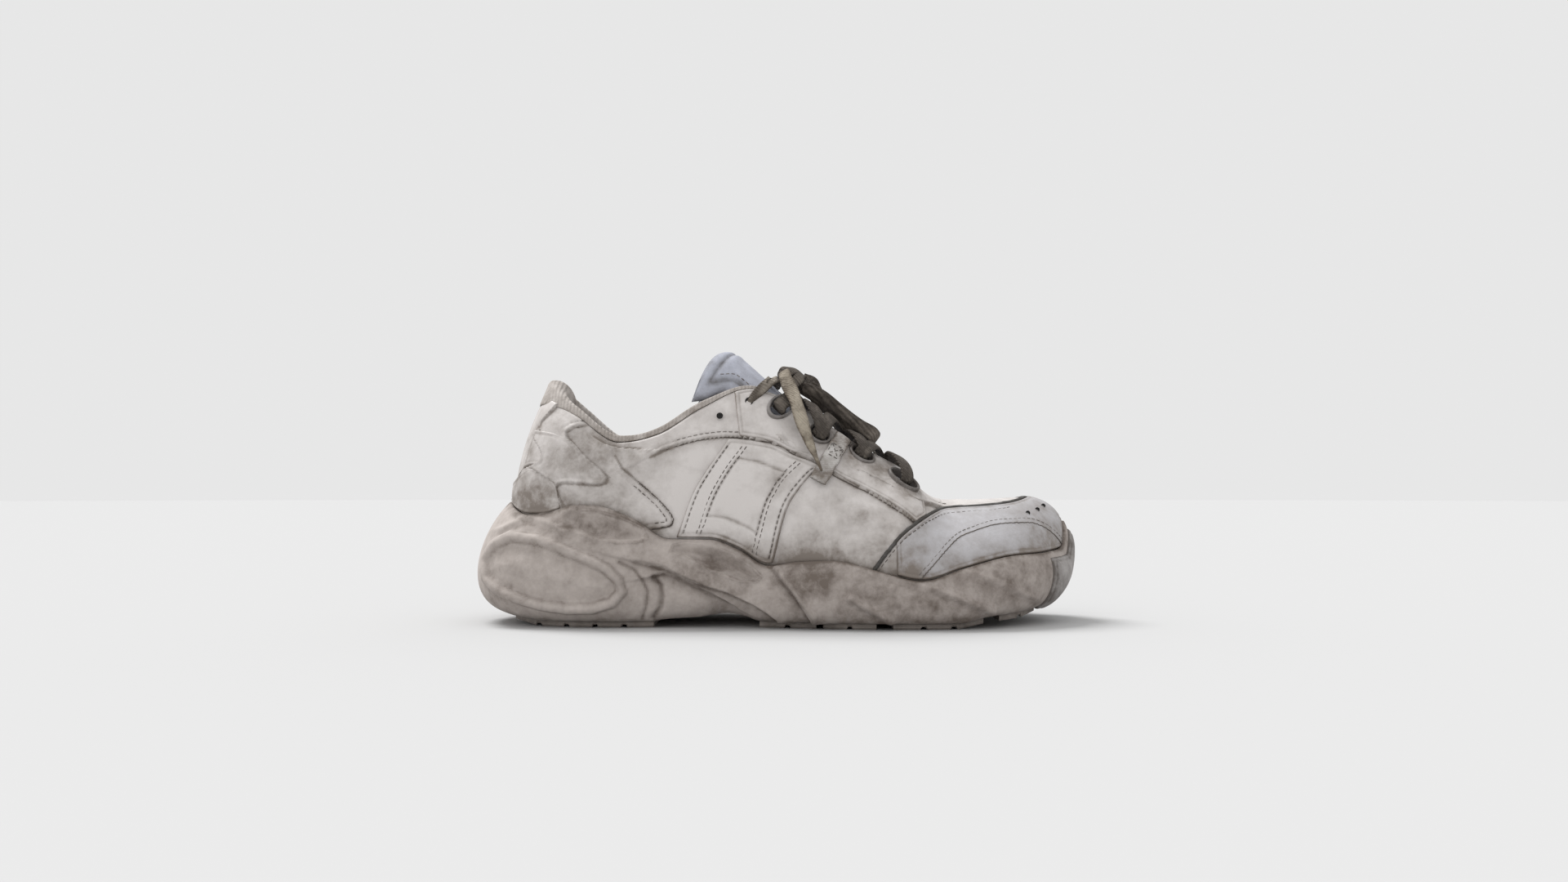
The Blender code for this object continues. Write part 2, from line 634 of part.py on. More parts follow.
def heel_overlay(root):
    """The band from the collar down to the point on each side of the heel."""
    for name, mirror in (("heel_overlay_outer", False), ("heel_overlay_inner", True)):
        u = columns_between(*BAND_SPAN)
        u = np.sort(ROUND - u) if mirror else u
        low = line_height(COUNTER_LINE, COLLAR_HEIGHT, u)
        low = np.maximum(low, line_height(POINT_LINE, COLLAR_HEIGHT, u)) + EDGE_CLEAR
        high = line_height(BAND_LINE, COLLAR_HEIGHT, u)
        high = np.maximum(high, low + LEAST_HEIGHT)
        patch(name, u, low, high, "overlay", root, rows=4)


def pad_thickness(u, share):
    """How thick the collar's padding is at a station and a share of the way up to the rim."""
    from_heel = abs(np.mod(u + TOE, ROUND) - TOE)
    heel = bump(from_heel, 1.9)
    thick = SIDE_PAD + (HEEL_PAD - SIDE_PAD) * heel
    return thick * math.sin(math.pi * (0.12 + 0.62 * share))


def collar(root):
    """The padding inside the ankle opening and the roll over the upper's edge."""
    count = int(round(2 * COLLAR_END * COLUMNS_PER_STATION))
    stations = np.linspace(-COLLAR_END, COLLAR_END, count + 1)
    inside = -WALL - GAP
    rings = []
    for u in stations:
        heights = (0.60, 0.70, 0.80, 0.90, 1.0)
        back = [skin(u, v, inside) for v in heights]
        rim = skin(u, 1.0, 0.0)
        up = unit(skin(u, 1.0, 0.0) - skin(u, 0.985, 0.0))
        up = unit(up * 0.5 + np.array([0.0, 0.0, 0.5]))
        away = unit(skin(u, 1.0, 0.001) - rim)
        front_thick = float(pad_thickness(u, 1.0))
        over = [skin(u, 1.0, inside) + up * GAP * 1.5, rim + up * GAP * 1.5]
        width = WALL + GAP + front_thick
        for angle in (15, 50, 90, 130, 165):
            turn = math.radians(angle)
            across = 0.5 * width * (math.cos(turn) - 1.0)
            over.append(rim + away * across + up * (GAP * 1.5 + (ROLL - GAP) * math.sin(turn)))
        front = []
        for share, v in ((0.9, 0.93), (0.7, 0.85), (0.45, 0.75), (0.1, 0.65)):
            front.append(skin(u, v, inside - float(pad_thickness(u, share))))
        rings.append(np.array(back + over + front))
    swept("collar", rings, "knit", root)


def tongue_point(along, angle, depth):
    """A point of the tongue: along it from 0 to 1, round it by a share of its half angle."""
    table = np.array(TONGUE)
    knots = np.linspace(0, 1, len(table))
    x = smooth(knots, table[:, 0] * LENGTH, along)
    reach = TONGUE_HEIGHT - COLLAR_HEIGHT
    z = smooth(knots, table[:, 1] * COLLAR_HEIGHT + table[:, 2] * reach, along)
    radius = smooth(knots, table[:, 3] * WIDTH, along)
    half = np.radians(smooth(knots, table[:, 4], along))
    lean = np.radians(smooth(knots, table[:, 5], along))
    turn = half * angle
    arm = radius - depth
    down = np.stack([-np.sin(lean), 0 * lean, -np.cos(lean)], axis=-1)
    centre = np.stack([x, 0 * x, z], axis=-1) + down * radius[..., None]
    y = np.array([0.0, 1.0, 0.0])
    return centre + y * (arm * np.sin(turn))[..., None] - down * (arm * np.cos(turn))[..., None]


def tongue(root):
    along = np.linspace(0, 1, 15)
    across = np.linspace(-1, 1, 9)
    rings = []
    for s in along:
        thick = TONGUE_THICK * (0.35 + 0.65 * min(1.0, 5 * s, 8 * (1 - s) + 0.35))
        edge = 0.55 + 0.45 * np.cos(across * math.pi / 2)
        over = tongue_point(np.full(9, s), across, np.zeros(9))
        under = tongue_point(np.full(9, s), across, thick * edge)
        rings.append(np.concatenate([over, under[::-1]]))
    swept("tongue", rings, "tongue", root)


def window_place(x_share, z_share, mirror):
    """The station and height of a lace window that is seen at x and z from the side."""
    target = np.array([x_share * LENGTH, z_share * COLLAR_HEIGHT])
    u = np.linspace(5.6, 9.9, 120)[:, None]
    v = np.linspace(0.5, 1.0, 120)[None, :]
    u, v = np.broadcast_arrays(u, v)
    seen = last_point(u, v)[..., (0, 2)]
    best = np.linalg.norm(seen - target, axis=-1).argmin()
    station, height = u.ravel()[best], v.ravel()[best]
    return (ROUND - station if mirror else station), height


def frame_at(u, v):
    """The point, the outward normal and two level directions of the skin."""
    point = skin(u, v, 0.0)
    normal = unit(skin(u, v, 0.001) - point)
    along = np.array([1.0, 0.0, 0.0])
    along = unit(along - normal * along.dot(normal))
    return point, normal, along, np.cross(normal, along)


def oval(u, v, across, tall, turn, grow, height, count):
    """Points round a lace window, at a height over the skin's middle plane."""
    point, normal, along, up = frame_at(u, v)
    up = up if up[2] > 0 else -up
    turn = math.radians(turn)
    points = []
    for k in range(count):
        angle = 2 * math.pi * k / count
        a, b = (across + grow) * math.cos(angle), (tall + grow) * math.sin(angle)
        x, y = a * math.cos(turn) - b * math.sin(turn), a * math.sin(turn) + b * math.cos(turn)
        points.append(point + along * x + up * y + normal * height)
    return np.array(points)


def windows(root, cut):
    """Holes through facing and upper, each with a raised ring seated in it."""
    for side, mirror in (("outer", False), ("inner", True)):
        for label, x, z, across, tall, turn in WINDOWS:
            u, v = window_place(x, z, mirror)
            rings = [oval(u, v, across, tall, turn, RING_WIDTH, h, 12) for h in (-CUT_REACH, CUT_REACH)]
            cutter = swept(f"cutter_{side}_{label}", rings, "ring", root)
            cutter.hide_render = True
            cutter.display_type = "WIRE"
            for target in (cut["upper"], cut[f"eyestay_{side}"]):
                hole = target.modifiers.new(f"window {label} {side}", "BOOLEAN")
                hole.operation = "DIFFERENCE"
                hole.solver = "EXACT"
                hole.object = cutter
            outer = RING_WIDTH - GAP
            low, high = -0.5 * WALL, GAP + OVERLAY + RING_HEIGHT
            edge = high - RING_ROUND
            shape = ((outer, low), (outer, edge), (0.5 * outer, high), (0.0, edge), (0.0, low))
            sections = [oval(u, v, across, tall, turn, grow, h, 12) for grow, h in shape]
            rings = np.stack(sections, axis=1)
            swept(f"ring_{side}_{label}", rings, "ring", root, closed=True)


def edge_at(x, side):
    """The y of the foam's ground edge at x, on the outer (-1) or inner (1) side."""
    u = np.linspace(0, TOE, 140)
    edge = sole_controls(u if side < 0 else ROUND - u)[0]
    return np.interp(x, edge[:, 0], edge[:, 1])


def lug_stations(start, end, lugs):
    """Pairs of x at the walls of the grooves between lugs, and whether each is in a groove."""
    pitch = (end - start) / lugs
    wall = GROOVE_WALL * pitch
    stations = []
    for k in range(lugs):
        left = start + k * pitch
        right = left + pitch
        if k:
            stations += [(left + wall, True), (left + 2 * wall, False)]
        else:
            stations += [(left, False)]
        if k < lugs - 1:
            stations += [(right - 2 * wall, False), (right - wall, True)]
        else:
            stations += [(right, False)]
    return stations


def outsole_pad(root, name, start, end, lugs):
    """A rubber pad under the foam, with grooves across it between its lugs."""
    rings = []
    inset = PAD_INSET * WIDTH
    for x, groove in lug_stations(start * LENGTH, end * LENGTH, lugs):
        outer = edge_at(x, -1) + inset
        inner = edge_at(x, 1) - inset
        high = float(underside(np.array(x))) - GAP
        low = float(ground(np.array(x))) + (LUG_GROOVE if groove else 0.0)
        slant = LUG_SLANT * OUTSOLE
        rings.append((
            (x, outer, high), (x, outer, low + slant), (x, outer + slant, low),
            (x, inner - slant, low), (x, inner, low + slant), (x, inner, high),
        ))
    swept(name, rings, "rubber", root)


def outsole(root):
    for name, start, end, lugs in PADS:
        outsole_pad(root, f"outsole_{name}", start, end, lugs)


def toe_bumper(root):
    u = columns_between(BUMPER_START, ROUND - BUMPER_START)
    low, high = (np.full(len(u), height) for height in BUMPER_SPAN)
    return patch("toe_bumper", u, low, high, "rubber", root, thick=BUMPER, rows=9, surface=sole_skin)


def lace_frame(x_share, z_share, mirror, lift):
    """A point over the side of the upper, and the outward normal there."""
    u, v = window_place(x_share, z_share, mirror)
    point, normal, _, _ = frame_at(u, v)
    return point + normal * lift, normal


def flat_strap(name, points, normals, width, thick, look, root, count=15):
    """A flat lace through the points, its width across the normals."""
    points, normals = np.array(points), np.array(normals)
    far = np.concatenate([[0], np.cumsum(np.linalg.norm(np.diff(points, axis=0), axis=1))])
    at = np.linspace(0, far[-1], count)
    path = np.stack([smooth(far, points[:, k], at) for k in range(3)], axis=1)
    facing = unit(np.stack([np.interp(at, far, normals[:, k]) for k in range(3)], axis=1))
    ahead = unit(np.gradient(path, axis=0))
    side = unit(np.cross(ahead, facing))
    facing = np.cross(side, ahead)
    rings = []
    for p, s, n in zip(path, side, facing):
        across, up = s * 0.5 * width, n * 0.5 * thick
        rings.append((p + across - up, p + across + up, p - across + up, p - across - up))
    return swept(name, rings, look, root)


def crown_over(x, lift):
    """A point over the middle of the tongue at x."""
    along = np.linspace(0, 1, 200)
    middle = tongue_point(along, np.zeros(200), np.zeros(200))
    k = abs(middle[:, 0] - x).argmin()
    normal = unit(np.cross(np.array([0.0, 1.0, 0.0]), middle[min(k + 1, 199)] - middle[k - 1]))
    normal = normal if normal[2] > 0 else -normal
    return middle[k] + normal * lift, normal


def crossings(root):
    """The laces over the tongue: each runs from a window to the next one across, joined in one body."""
    straps = []
    for k in range(len(WINDOWS) - 1):
        for side in (False, True):
            over = LACE_OVER * side
            lift = GAP + OVERLAY + RING_HEIGHT + GAP + 0.5 * LACE_THICK + LACE_CLEAR + over
            here, there = WINDOWS[k], WINDOWS[k + 1]
            first, first_normal = lace_frame(here[1], here[2], side, lift)
            last, last_normal = lace_frame(there[1], there[2], not side, lift)
            u_here, _ = window_place(here[1], here[2], side)
            u_there, _ = window_place(there[1], there[2], not side)
            step = -RIM_STEP if side else RIM_STEP
            rim_a = skin(u_here + step, 1.0, lift)
            rim_b = skin(u_there + step, 1.0, lift)
            middle, up = crown_over(0.5 * (first[0] + last[0]), LACE_LIFT + over)
            middle = middle + np.array([0.0, 0.5 * (rim_a[1] + rim_b[1]) - middle[1], 0.0])
            lean_a = unit(first_normal + up)
            lean_b = unit(last_normal + up)
            points = (first, rim_a, middle, rim_b, last)
            straps.append((points, (first_normal, lean_a, up, lean_b, last_normal)))
    joined = None
    for i, (points, normals) in enumerate(straps):
        name = "lace_crossings" if i == 0 else f"cutter_strap_{i}"
        strap = flat_strap(name, points, normals, LACE_WIDTH, LACE_THICK, "lace", root)
        if i == 0:
            joined = strap
            continue
        strap.hide_render = True
        strap.display_type = "WIRE"
        union = joined.modifiers.new(f"join {i}", "BOOLEAN")
        union.operation = "UNION"
        union.solver = "EXACT"
        union.object = strap


def cord(name, points, thick, look, root):
    """A round tube along a smooth route through the points."""
    points = np.array(points)
    far = np.concatenate([[0], np.cumsum(np.linalg.norm(np.diff(points, axis=0), axis=1))])
    count = max(4, int(round(far[-1] / (2.0 * thick))) + 1)
    at = np.linspace(0, far[-1], count)
    path = np.stack([smooth(far, points[:, k], at) for k in range(3)], axis=1)
    curve = bpy.data.curves.new(name, "CURVE")
    curve.dimensions = "3D"
    line = curve.splines.new("POLY")
    line.points.add(len(path) - 1)
    for point, place in zip(line.points, path):
        point.co = (*place, 1.0)
    curve.bevel_depth = 0.5 * thick
    curve.bevel_resolution = 2
    curve.use_fill_caps = True
    return object_of(name, curve, look, root)


def side_route(places, mirror):
    """Points over the side of the upper at places seen from the side, each with its lift."""
    return [lace_frame(x, z, mirror, lift)[0] for x, z, lift in places]


def bow(root):
    """The knot on the tongue, its two loops and the two free ends."""
    centre = np.array(KNOT) * (LENGTH, WIDTH, COLLAR_HEIGHT)
    mesh = bpy.data.meshes.new("lace_knot")
    work = bmesh.new()
    bmesh.ops.create_icosphere(work, subdivisions=2, radius=0.5)
    bmesh.ops.scale(work, verts=work.verts, vec=KNOT_SIZE)
    bmesh.ops.rotate(work, verts=work.verts, matrix=Matrix.Rotation(math.radians(38), 3, "Y"))
    bmesh.ops.translate(work, verts=work.verts, vec=centre)
    work.to_mesh(mesh)
    work.free()
    object_of("lace_knot", mesh, "lace", root)
    cord("lace_loop_near", [centre + np.array(p) for p in LOOP_NEAR], CORD, "lace", root)
    cord("lace_loop_far", [centre + np.array(p) for p in LOOP_FAR], CORD, "lace", root)
    start = [centre + np.array(p) for p in END_NEAR_START]
    route = side_route(END_NEAR, False)
    cord("lace_end_near", start + route, CORD, "lace end", root)
    cord("lace_end_far", [centre + np.array(p) for p in END_FAR], CORD, "lace end", root)


def lace_tabs(root):
    """A webbing strap on each facing, from its edge down over the saddle's front."""
    lift = GAP + OVERLAY + GAP + 0.5 * LACE_THICK + TAB_CLEAR
    for name, mirror in (("lace_tab_outer", False), ("lace_tab_inner", True)):
        places = [lace_frame(x, z, mirror, lift) for x, z in TAB_PLACES]
        points = [p for p, _ in places]
        normals = [n for _, n in places]
        flat_strap(name, points, normals, TAB_WIDTH, LACE_THICK, "webbing", root, count=9)


def centre_on(root, *pieces):
    """Moves the whole shoe so that these pieces' box is centred over the origin."""
    points = np.concatenate([[v.co[:] for v in piece.data.vertices] for piece in pieces])
    middle = 0.5 * (points.min(axis=0) + points.max(axis=0))
    root.location = (-middle[0], -middle[1], 0.0)


def main():
    clear_scene()
    root = bpy.data.objects.new("shoe", None)
    bpy.context.scene.collection.objects.link(root)
    cut = {"upper": upper(root)}
    foam = midsole(root)
    insole(root)
    toe_guard(root)
    facings(root)
    for side in ("outer", "inner"):
        cut[f"eyestay_{side}"] = bpy.data.objects[f"eyestay_{side}"]
    saddles(root)
    heel_counter(root)
    heel_overlay(root)
    collar(root)
    tongue(root)
    windows(root, cut)
    outsole(root)
    bumper = toe_bumper(root)
    centre_on(root, foam, bumper)
    lace_tabs(root)
    crossings(root)
    bow(root)


main()
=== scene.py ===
"""The worn running shoe, dressed: fine surfaces, seams, stitches, laces, grime and painted shade, camera and
light.

The first functions repeat the part's own, so that every fine surface lies on the same skin.
"""

import math

import bmesh
import bpy
import numpy as np
from mathutils import Matrix, Vector


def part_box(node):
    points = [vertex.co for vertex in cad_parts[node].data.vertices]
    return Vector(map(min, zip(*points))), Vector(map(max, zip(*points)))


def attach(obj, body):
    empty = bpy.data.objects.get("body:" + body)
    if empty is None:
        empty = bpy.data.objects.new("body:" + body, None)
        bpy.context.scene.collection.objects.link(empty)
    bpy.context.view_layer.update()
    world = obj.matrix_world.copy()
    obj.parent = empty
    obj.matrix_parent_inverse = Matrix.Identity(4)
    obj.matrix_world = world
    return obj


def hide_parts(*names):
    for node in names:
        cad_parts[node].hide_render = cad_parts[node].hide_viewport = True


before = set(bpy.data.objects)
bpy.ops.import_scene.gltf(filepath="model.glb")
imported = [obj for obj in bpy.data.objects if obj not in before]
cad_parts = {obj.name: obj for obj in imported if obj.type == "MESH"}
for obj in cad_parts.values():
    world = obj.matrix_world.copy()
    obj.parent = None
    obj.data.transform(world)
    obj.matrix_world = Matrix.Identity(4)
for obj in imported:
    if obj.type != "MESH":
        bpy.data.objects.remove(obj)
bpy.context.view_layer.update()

# Driving dimensions, in metres
LENGTH = 0.2855
WIDTH = 0.109
COLLAR_HEIGHT = 0.110
TONGUE_HEIGHT = 0.128
HEEL_BED = 0.031
TOE_BED = 0.0215
LIP_HEIGHT = 0.058
GUARD_TOP = 0.059
ARCH_RISE = 0.0088
TOE_SPRING = 0.0062
WALL = 0.002
GAP = 0.0003
SEAT = 0.0004
OVERLAY = 0.0012
LIP = 0.0020
OUTSOLE = 0.0025
BUMPER = 0.0025
ROLL = 0.0042
HEEL_PAD = 0.0110
SIDE_PAD = 0.0048
TONGUE_THICK = 0.0055
LACE_WIDTH = 0.0068
LACE_THICK = 0.0016
RING_WIDTH = 0.0018
RING_HEIGHT = 0.0012
TAB_WIDTH = 0.0080
POD_RELIEF = 0.0016
DIMPLE_DEPTH = 0.0022

TOE = 13
ROUND = 2 * TOE
THROAT_END = 10
COLUMNS_PER_STATION = 3
COLUMNS = ROUND * COLUMNS_PER_STATION
SOLE_ROWS = 9

# Each row is a station of the last: the base's x, half width and inner share of it, the middle's
# y, then the x and half width of the low handle and its share of the rise, the same of the high
# handle, and the rim's x, half width and height. Lengths are shares of LENGTH and widths of WIDTH;
# the rim's height is a share of COLLAR_HEIGHT.
LAST = (
    (-0.416, 0.000, 1.00, 0.000, -0.460, 0.000, 0.20, -0.430, 0.000, 0.70, -0.386, 0.000, 0.985),
    (-0.400, 0.174, 1.00, 0.000, -0.430, 0.229, 0.20, -0.404, 0.202, 0.70, -0.368, 0.119, 0.955),
    (-0.344, 0.275, 0.98, 0.000, -0.356, 0.344, 0.22, -0.333, 0.294, 0.70, -0.322, 0.220, 0.875),
    (-0.260, 0.307, 0.93, 0.000, -0.263, 0.376, 0.25, -0.256, 0.330, 0.70, -0.253, 0.266, 0.762),
    (-0.168, 0.312, 0.86, 0.000, -0.172, 0.385, 0.27, -0.182, 0.344, 0.70, -0.189, 0.280, 0.795),
    (-0.084, 0.321, 0.83, 0.000, -0.091, 0.399, 0.28, -0.112, 0.339, 0.72, -0.119, 0.271, 0.905),
    (-0.007, 0.344, 0.84, 0.000, -0.014, 0.427, 0.28, -0.035, 0.335, 0.78, -0.042, 0.220, 0.988),
    (0.070, 0.385, 0.87, 0.000, 0.065, 0.468, 0.28, 0.049, 0.330, 0.84, 0.042, 0.176, 0.905),
    (0.140, 0.422, 0.89, 0.000, 0.140, 0.495, 0.30, 0.126, 0.330, 0.87, 0.121, 0.156, 0.764),
    (0.211, 0.436, 0.92, 0.000, 0.212, 0.505, 0.33, 0.204, 0.325, 0.92, 0.200, 0.119, 0.650),
    (0.288, 0.417, 0.95, 0.005, 0.291, 0.491, 0.38, 0.277, 0.275, 1.00, 0.272, 0.000, 0.516),
    (0.379, 0.339, 0.92, 0.028, 0.390, 0.408, 0.42, 0.354, 0.220, 1.03, 0.337, 0.000, 0.520),
    (0.435, 0.179, 1.00, 0.041, 0.470, 0.220, 0.42, 0.439, 0.125, 1.04, 0.375, 0.000, 0.526),
    (0.450, 0.000, 1.00, 0.055, 0.502, 0.000, 0.40, 0.493, 0.000, 1.04, 0.389, 0.000, 0.528),
)

# The sole at the same stations: the ground edge's x and half width, and how far the foam flares
# out low and high.
SOLE = (
    (-0.4386, 0.000, 0.0912, 0.0560),
    (-0.4175, 0.202, 0.0760, 0.0500),
    (-0.3540, 0.312, 0.0480, 0.0420),
    (-0.2600, 0.349, 0.0370, 0.0340),
    (-0.1680, 0.335, 0.0350, 0.0300),
    (-0.0840, 0.326, 0.0350, 0.0280),
    (-0.0070, 0.362, 0.0340, 0.0240),
    (0.0700, 0.408, 0.0320, 0.0190),
    (0.1400, 0.443, 0.0230, 0.0140),
    (0.2105, 0.451, 0.0190, 0.0120),
    (0.2880, 0.432, 0.0240, 0.0160),
    (0.3790, 0.335, 0.0300, 0.0200),
    (0.4230, 0.165, 0.0360, 0.0230),
    (0.4350, 0.000, 0.0400, 0.0250),
)

# Outlines from the side, as shares of LENGTH and of the height that each follows
LIP_LINE = (
    (-0.446, 1.000), (-0.419, 0.910), (-0.394, 0.872), (-0.369, 0.876), (-0.317, 0.948),
    (-0.289, 0.945), (-0.225, 0.845), (-0.169, 0.693), (-0.105, 0.688), (-0.059, 0.612),
    (-0.012, 0.490), (0.036, 0.522), (0.089, 0.529), (0.154, 0.459), (0.226, 0.381),
    (0.288, 0.460), (0.359, 0.541), (0.436, 0.574), (0.466, 0.600), (0.477, 0.800),
)
BED_LINE = ((-0.42, 1.0), (-0.26, 0.95), (-0.084, 0.50), (0.0, 0.14), (0.14, -0.32), (0.26, -0.32),
            (0.36, -0.08), (0.45, 0.10))
GROUND_LINE = ((-0.47, 0.74), (-0.4386, 0.47), (-0.368, 0.0), (0.0, 0.0), (0.288, 0.0),
               (0.317, 0.30), (0.393, 0.64), (0.446, 1.0))
ARCH_LINE = ((-0.194, 0.0), (-0.18, 0.096), (-0.12, 0.24), (-0.078, 0.42), (-0.045, 0.252),
             (-0.028, 0.06), (0.0, 0.0))
GUARD_LINE = ((0.152, 0.44), (0.174, 0.58), (0.192, 0.68), (0.216, 0.775), (0.241, 0.845),
              (0.269, 0.885), (0.347, 0.910), (0.392, 0.938), (0.430, 0.985))
FACING_LINE = ((-0.120, 0.770), (-0.079, 0.785), (-0.011, 0.762), (0.025, 0.718), (0.059, 0.682),
               (0.100, 0.615), (0.147, 0.554), (0.198, 0.473), (0.226, 0.419), (0.250, 0.400))
COUNTER_LINE = ((-0.450, 0.560), (-0.424, 0.610), (-0.395, 0.655), (-0.352, 0.590),
                (-0.342, 0.495), (-0.330, 0.420))
BAND_LINE = ((-0.4300, 0.830), (-0.395, 0.820), (-0.3350, 0.780), (-0.2970, 0.680),
             (-0.2690, 0.614), (-0.262, 0.600))
POINT_LINE = ((-0.5, 0.602), (-0.2, 0.602))
SADDLE_BACK = ((0.24, -0.160), (0.50, -0.120), (0.90, -0.055))
SADDLE_FRONT = ((0.24, -0.010), (0.50, 0.025), (0.90, 0.085))

# The stations that each overlay spans, and how far its edges stay from its neighbours' and the
# rim, as shares of the wall's height
GUARD_START = 8.67
FACING_SPAN = (5.67, 9.4)
BAND_SPAN = (0.90, 2.95)
COUNTER_SPAN = (-2.05, 2.05)
BUMPER_START = 11.67
EDGE_CLEAR = 0.012
FACING_CLEAR = 0.015
LEAST_HEIGHT = 0.02
FACING_TOP = 0.995
GUARD_MOST = 0.90
BUMPER_SPAN = (0.04, 0.90)

# Forms in the foam's side: the pod at the heel, its centre and half sizes as shares of LENGTH and
# LIP_HEIGHT, its tilt and its rim's width; and the dimples, each with its centre, half sizes and
# slope
POD_CENTRE = (-0.358, 0.425)
POD_SIZE = (0.114, 0.25)
POD_TILT = -10.5
POD_RIM = 0.20
DIMPLES = ((-0.27, 0.76, 0.055, 0.13, 0.0), (-0.09, 0.52, 0.060, 0.16, -1.6))
RELIEF_END = 2.5
LOW_HANDLE = 0.02
HIGH_HANDLE = 0.30

# The lace windows: label, x and z shares, half width, half height and turn
WINDOWS = (
    ("a", 0.0060, 0.905, 0.0042, 0.0070, -35),
    ("b", 0.0680, 0.788, 0.0043, 0.0042, -20),
    ("c", 0.1370, 0.702, 0.0052, 0.0044, -20),
    ("d", 0.2030, 0.598, 0.0070, 0.0046, -25),
)

# The tongue's middle line from under the vamp to its top: x as a share of LENGTH, z as a share of
# COLLAR_HEIGHT and of the tongue's reach above the collar, the radius of its half pipe as a share
# of WIDTH, its half angle, and its lean from upright
TONGUE = (
    (0.262, 0.479, 0.00, 0.275, 20, 30),
    (0.236, 0.538, 0.00, 0.275, 32, 33),
    (0.200, 0.605, 0.00, 0.275, 42, 36),
    (0.160, 0.675, 0.00, 0.266, 48, 37),
    (0.120, 0.749, 0.00, 0.266, 50, 38),
    (0.080, 0.829, 0.00, 0.257, 52, 39),
    (0.040, 0.910, 0.00, 0.248, 54, 39),
    (0.010, 0.947, 0.20, 0.239, 58, 39),
    (-0.020, 0.968, 0.50, 0.239, 64, 39),
    (-0.045, 0.977, 0.80, 0.239, 66, 39),
    (-0.064, 0.990, 0.95, 0.229, 86, 39),
    (-0.076, 1.000, 1.00, 0.229, 90, 40),
)

# The laces: how far the crossings lie over the tongue, the knot's place as shares of LENGTH,
# WIDTH and COLLAR_HEIGHT, its size, and the cords' routes from it
LACE_LIFT = 0.0032
KNOT = (0.026, -0.030, 1.0415)
KNOT_SIZE = (0.017, 0.015, 0.009)
LOOP_NEAR = (
    (0.0085, -0.0035, -0.0020), (0.0115, -0.0045, -0.0085), (0.0223, -0.0055, -0.0185),
    (0.0333, -0.0060, -0.0270), (0.0380, -0.0068, -0.0290), (0.0396, -0.0092, -0.0285),
    (0.0376, -0.0118, -0.0262), (0.0323, -0.0118, -0.0230), (0.0213, -0.0112, -0.0145),
    (0.0110, -0.0108, -0.0070), (0.0050, -0.0100, -0.0045),
)
LOOP_FAR = (
    (0.0064, 0.0051, 0.0010), (0.0100, 0.0090, -0.0005), (0.0120, 0.0120, -0.0040),
    (0.0145, 0.0140, -0.0080), (0.0180, 0.0160, -0.0120), (0.0205, 0.0185, -0.0140),
    (0.0190, 0.0225, -0.0130), (0.0155, 0.0220, -0.0100), (0.0110, 0.0195, -0.0065),
    (0.0070, 0.0165, -0.0040), (0.0030, 0.0135, -0.0020),
)
END_NEAR_START = ((-0.0040, -0.0105, 0.0030), (-0.0030, -0.0180, -0.0010))
END_NEAR = (
    (0.022, 0.870, 0.0100), (0.033, 0.810, 0.0085), (0.048, 0.740, 0.0062),
    (0.060, 0.680, 0.0062), (0.070, 0.620, 0.0062),
)
END_FAR = ((-0.0035, 0.0066, 0.0005), (-0.0080, 0.0175, -0.0010), (-0.0090, 0.0245, -0.0030))
TAB_PLACES = ((0.1035, 0.768), (0.092, 0.715), (0.076, 0.645), (0.065, 0.590))


def smooth(knots, values, at):
    """A smooth curve through the values, without overshoot."""
    knots = np.asarray(knots, float)
    values = np.asarray(values, float)
    at = np.clip(np.asarray(at, float), knots[0], knots[-1])
    step = np.diff(knots)
    rise = np.diff(values) / step
    slope = np.zeros(len(knots))
    mean = (rise[:-1] * step[1:] + rise[1:] * step[:-1]) / (step[:-1] + step[1:])
    most = 2.0 * np.minimum(abs(rise[:-1]), abs(rise[1:]))
    slope[1:-1] = np.where(rise[:-1] * rise[1:] > 0, np.sign(mean) * np.minimum(abs(mean), most), 0)
    slope[0] = rise[0]
    slope[-1] = rise[-1]
    i = np.clip(np.searchsorted(knots, at, side="right") - 1, 0, len(step) - 1)
    t = (at - knots[i]) / step[i]
    a = (1 + 2 * t) * (1 - t) ** 2 * values[i] + t**2 * (3 - 2 * t) * values[i + 1]
    b = t * (1 - t) ** 2 * slope[i] - t**2 * (1 - t) * slope[i + 1]
    return a + b * step[i]


def round_curve(values, u):
    """The smooth curve round the last through a value for each of the 26 stations."""
    knots = np.arange(-2, ROUND + 3)
    return smooth(knots, np.asarray(values)[knots % ROUND], np.mod(u, ROUND))


def outline(line, x, height):
    """The height of a side outline at x."""
    points = np.array(line)
    return smooth(points[:, 0] * LENGTH, points[:, 1] * height, x)


def bed(x):
    """The height of the footbed's foam."""
    mean = 0.5 * (HEEL_BED + TOE_BED)
    half = 0.5 * (HEEL_BED - TOE_BED)
    points = np.array(BED_LINE)
    return smooth(points[:, 0] * LENGTH, mean + half * (2 * points[:, 1] - 1), x)


def ground(x):
    """The lowest surface of the rubber under x."""
    return outline(GROUND_LINE, x, TOE_SPRING)


def underside(x):
    """The foam's lower surface: above the rubber, and free in the arch."""
    arch = np.maximum(outline(ARCH_LINE, x, ARCH_RISE), 0)
    inside = (x > ARCH_LINE[0][0] * LENGTH) & (x < ARCH_LINE[-1][0] * LENGTH)
    return ground(x) + OUTSOLE + GAP + np.where(inside, arch, 0)


def both_sides(rows, half, ratio=None):
    """The signed half width at every station round the last, the inner side by its share."""
    table = np.array(rows)
    share = np.ones(len(table)) if ratio is None else ratio
    width = table[:, half] * WIDTH
    return np.concatenate([-width, (width * share)[-2:0:-1]])


def mirrored(values):
    return np.concatenate([values, values[-2:0:-1]])


MIDDLE = mirrored(np.array(LAST)[:, 3] * WIDTH)


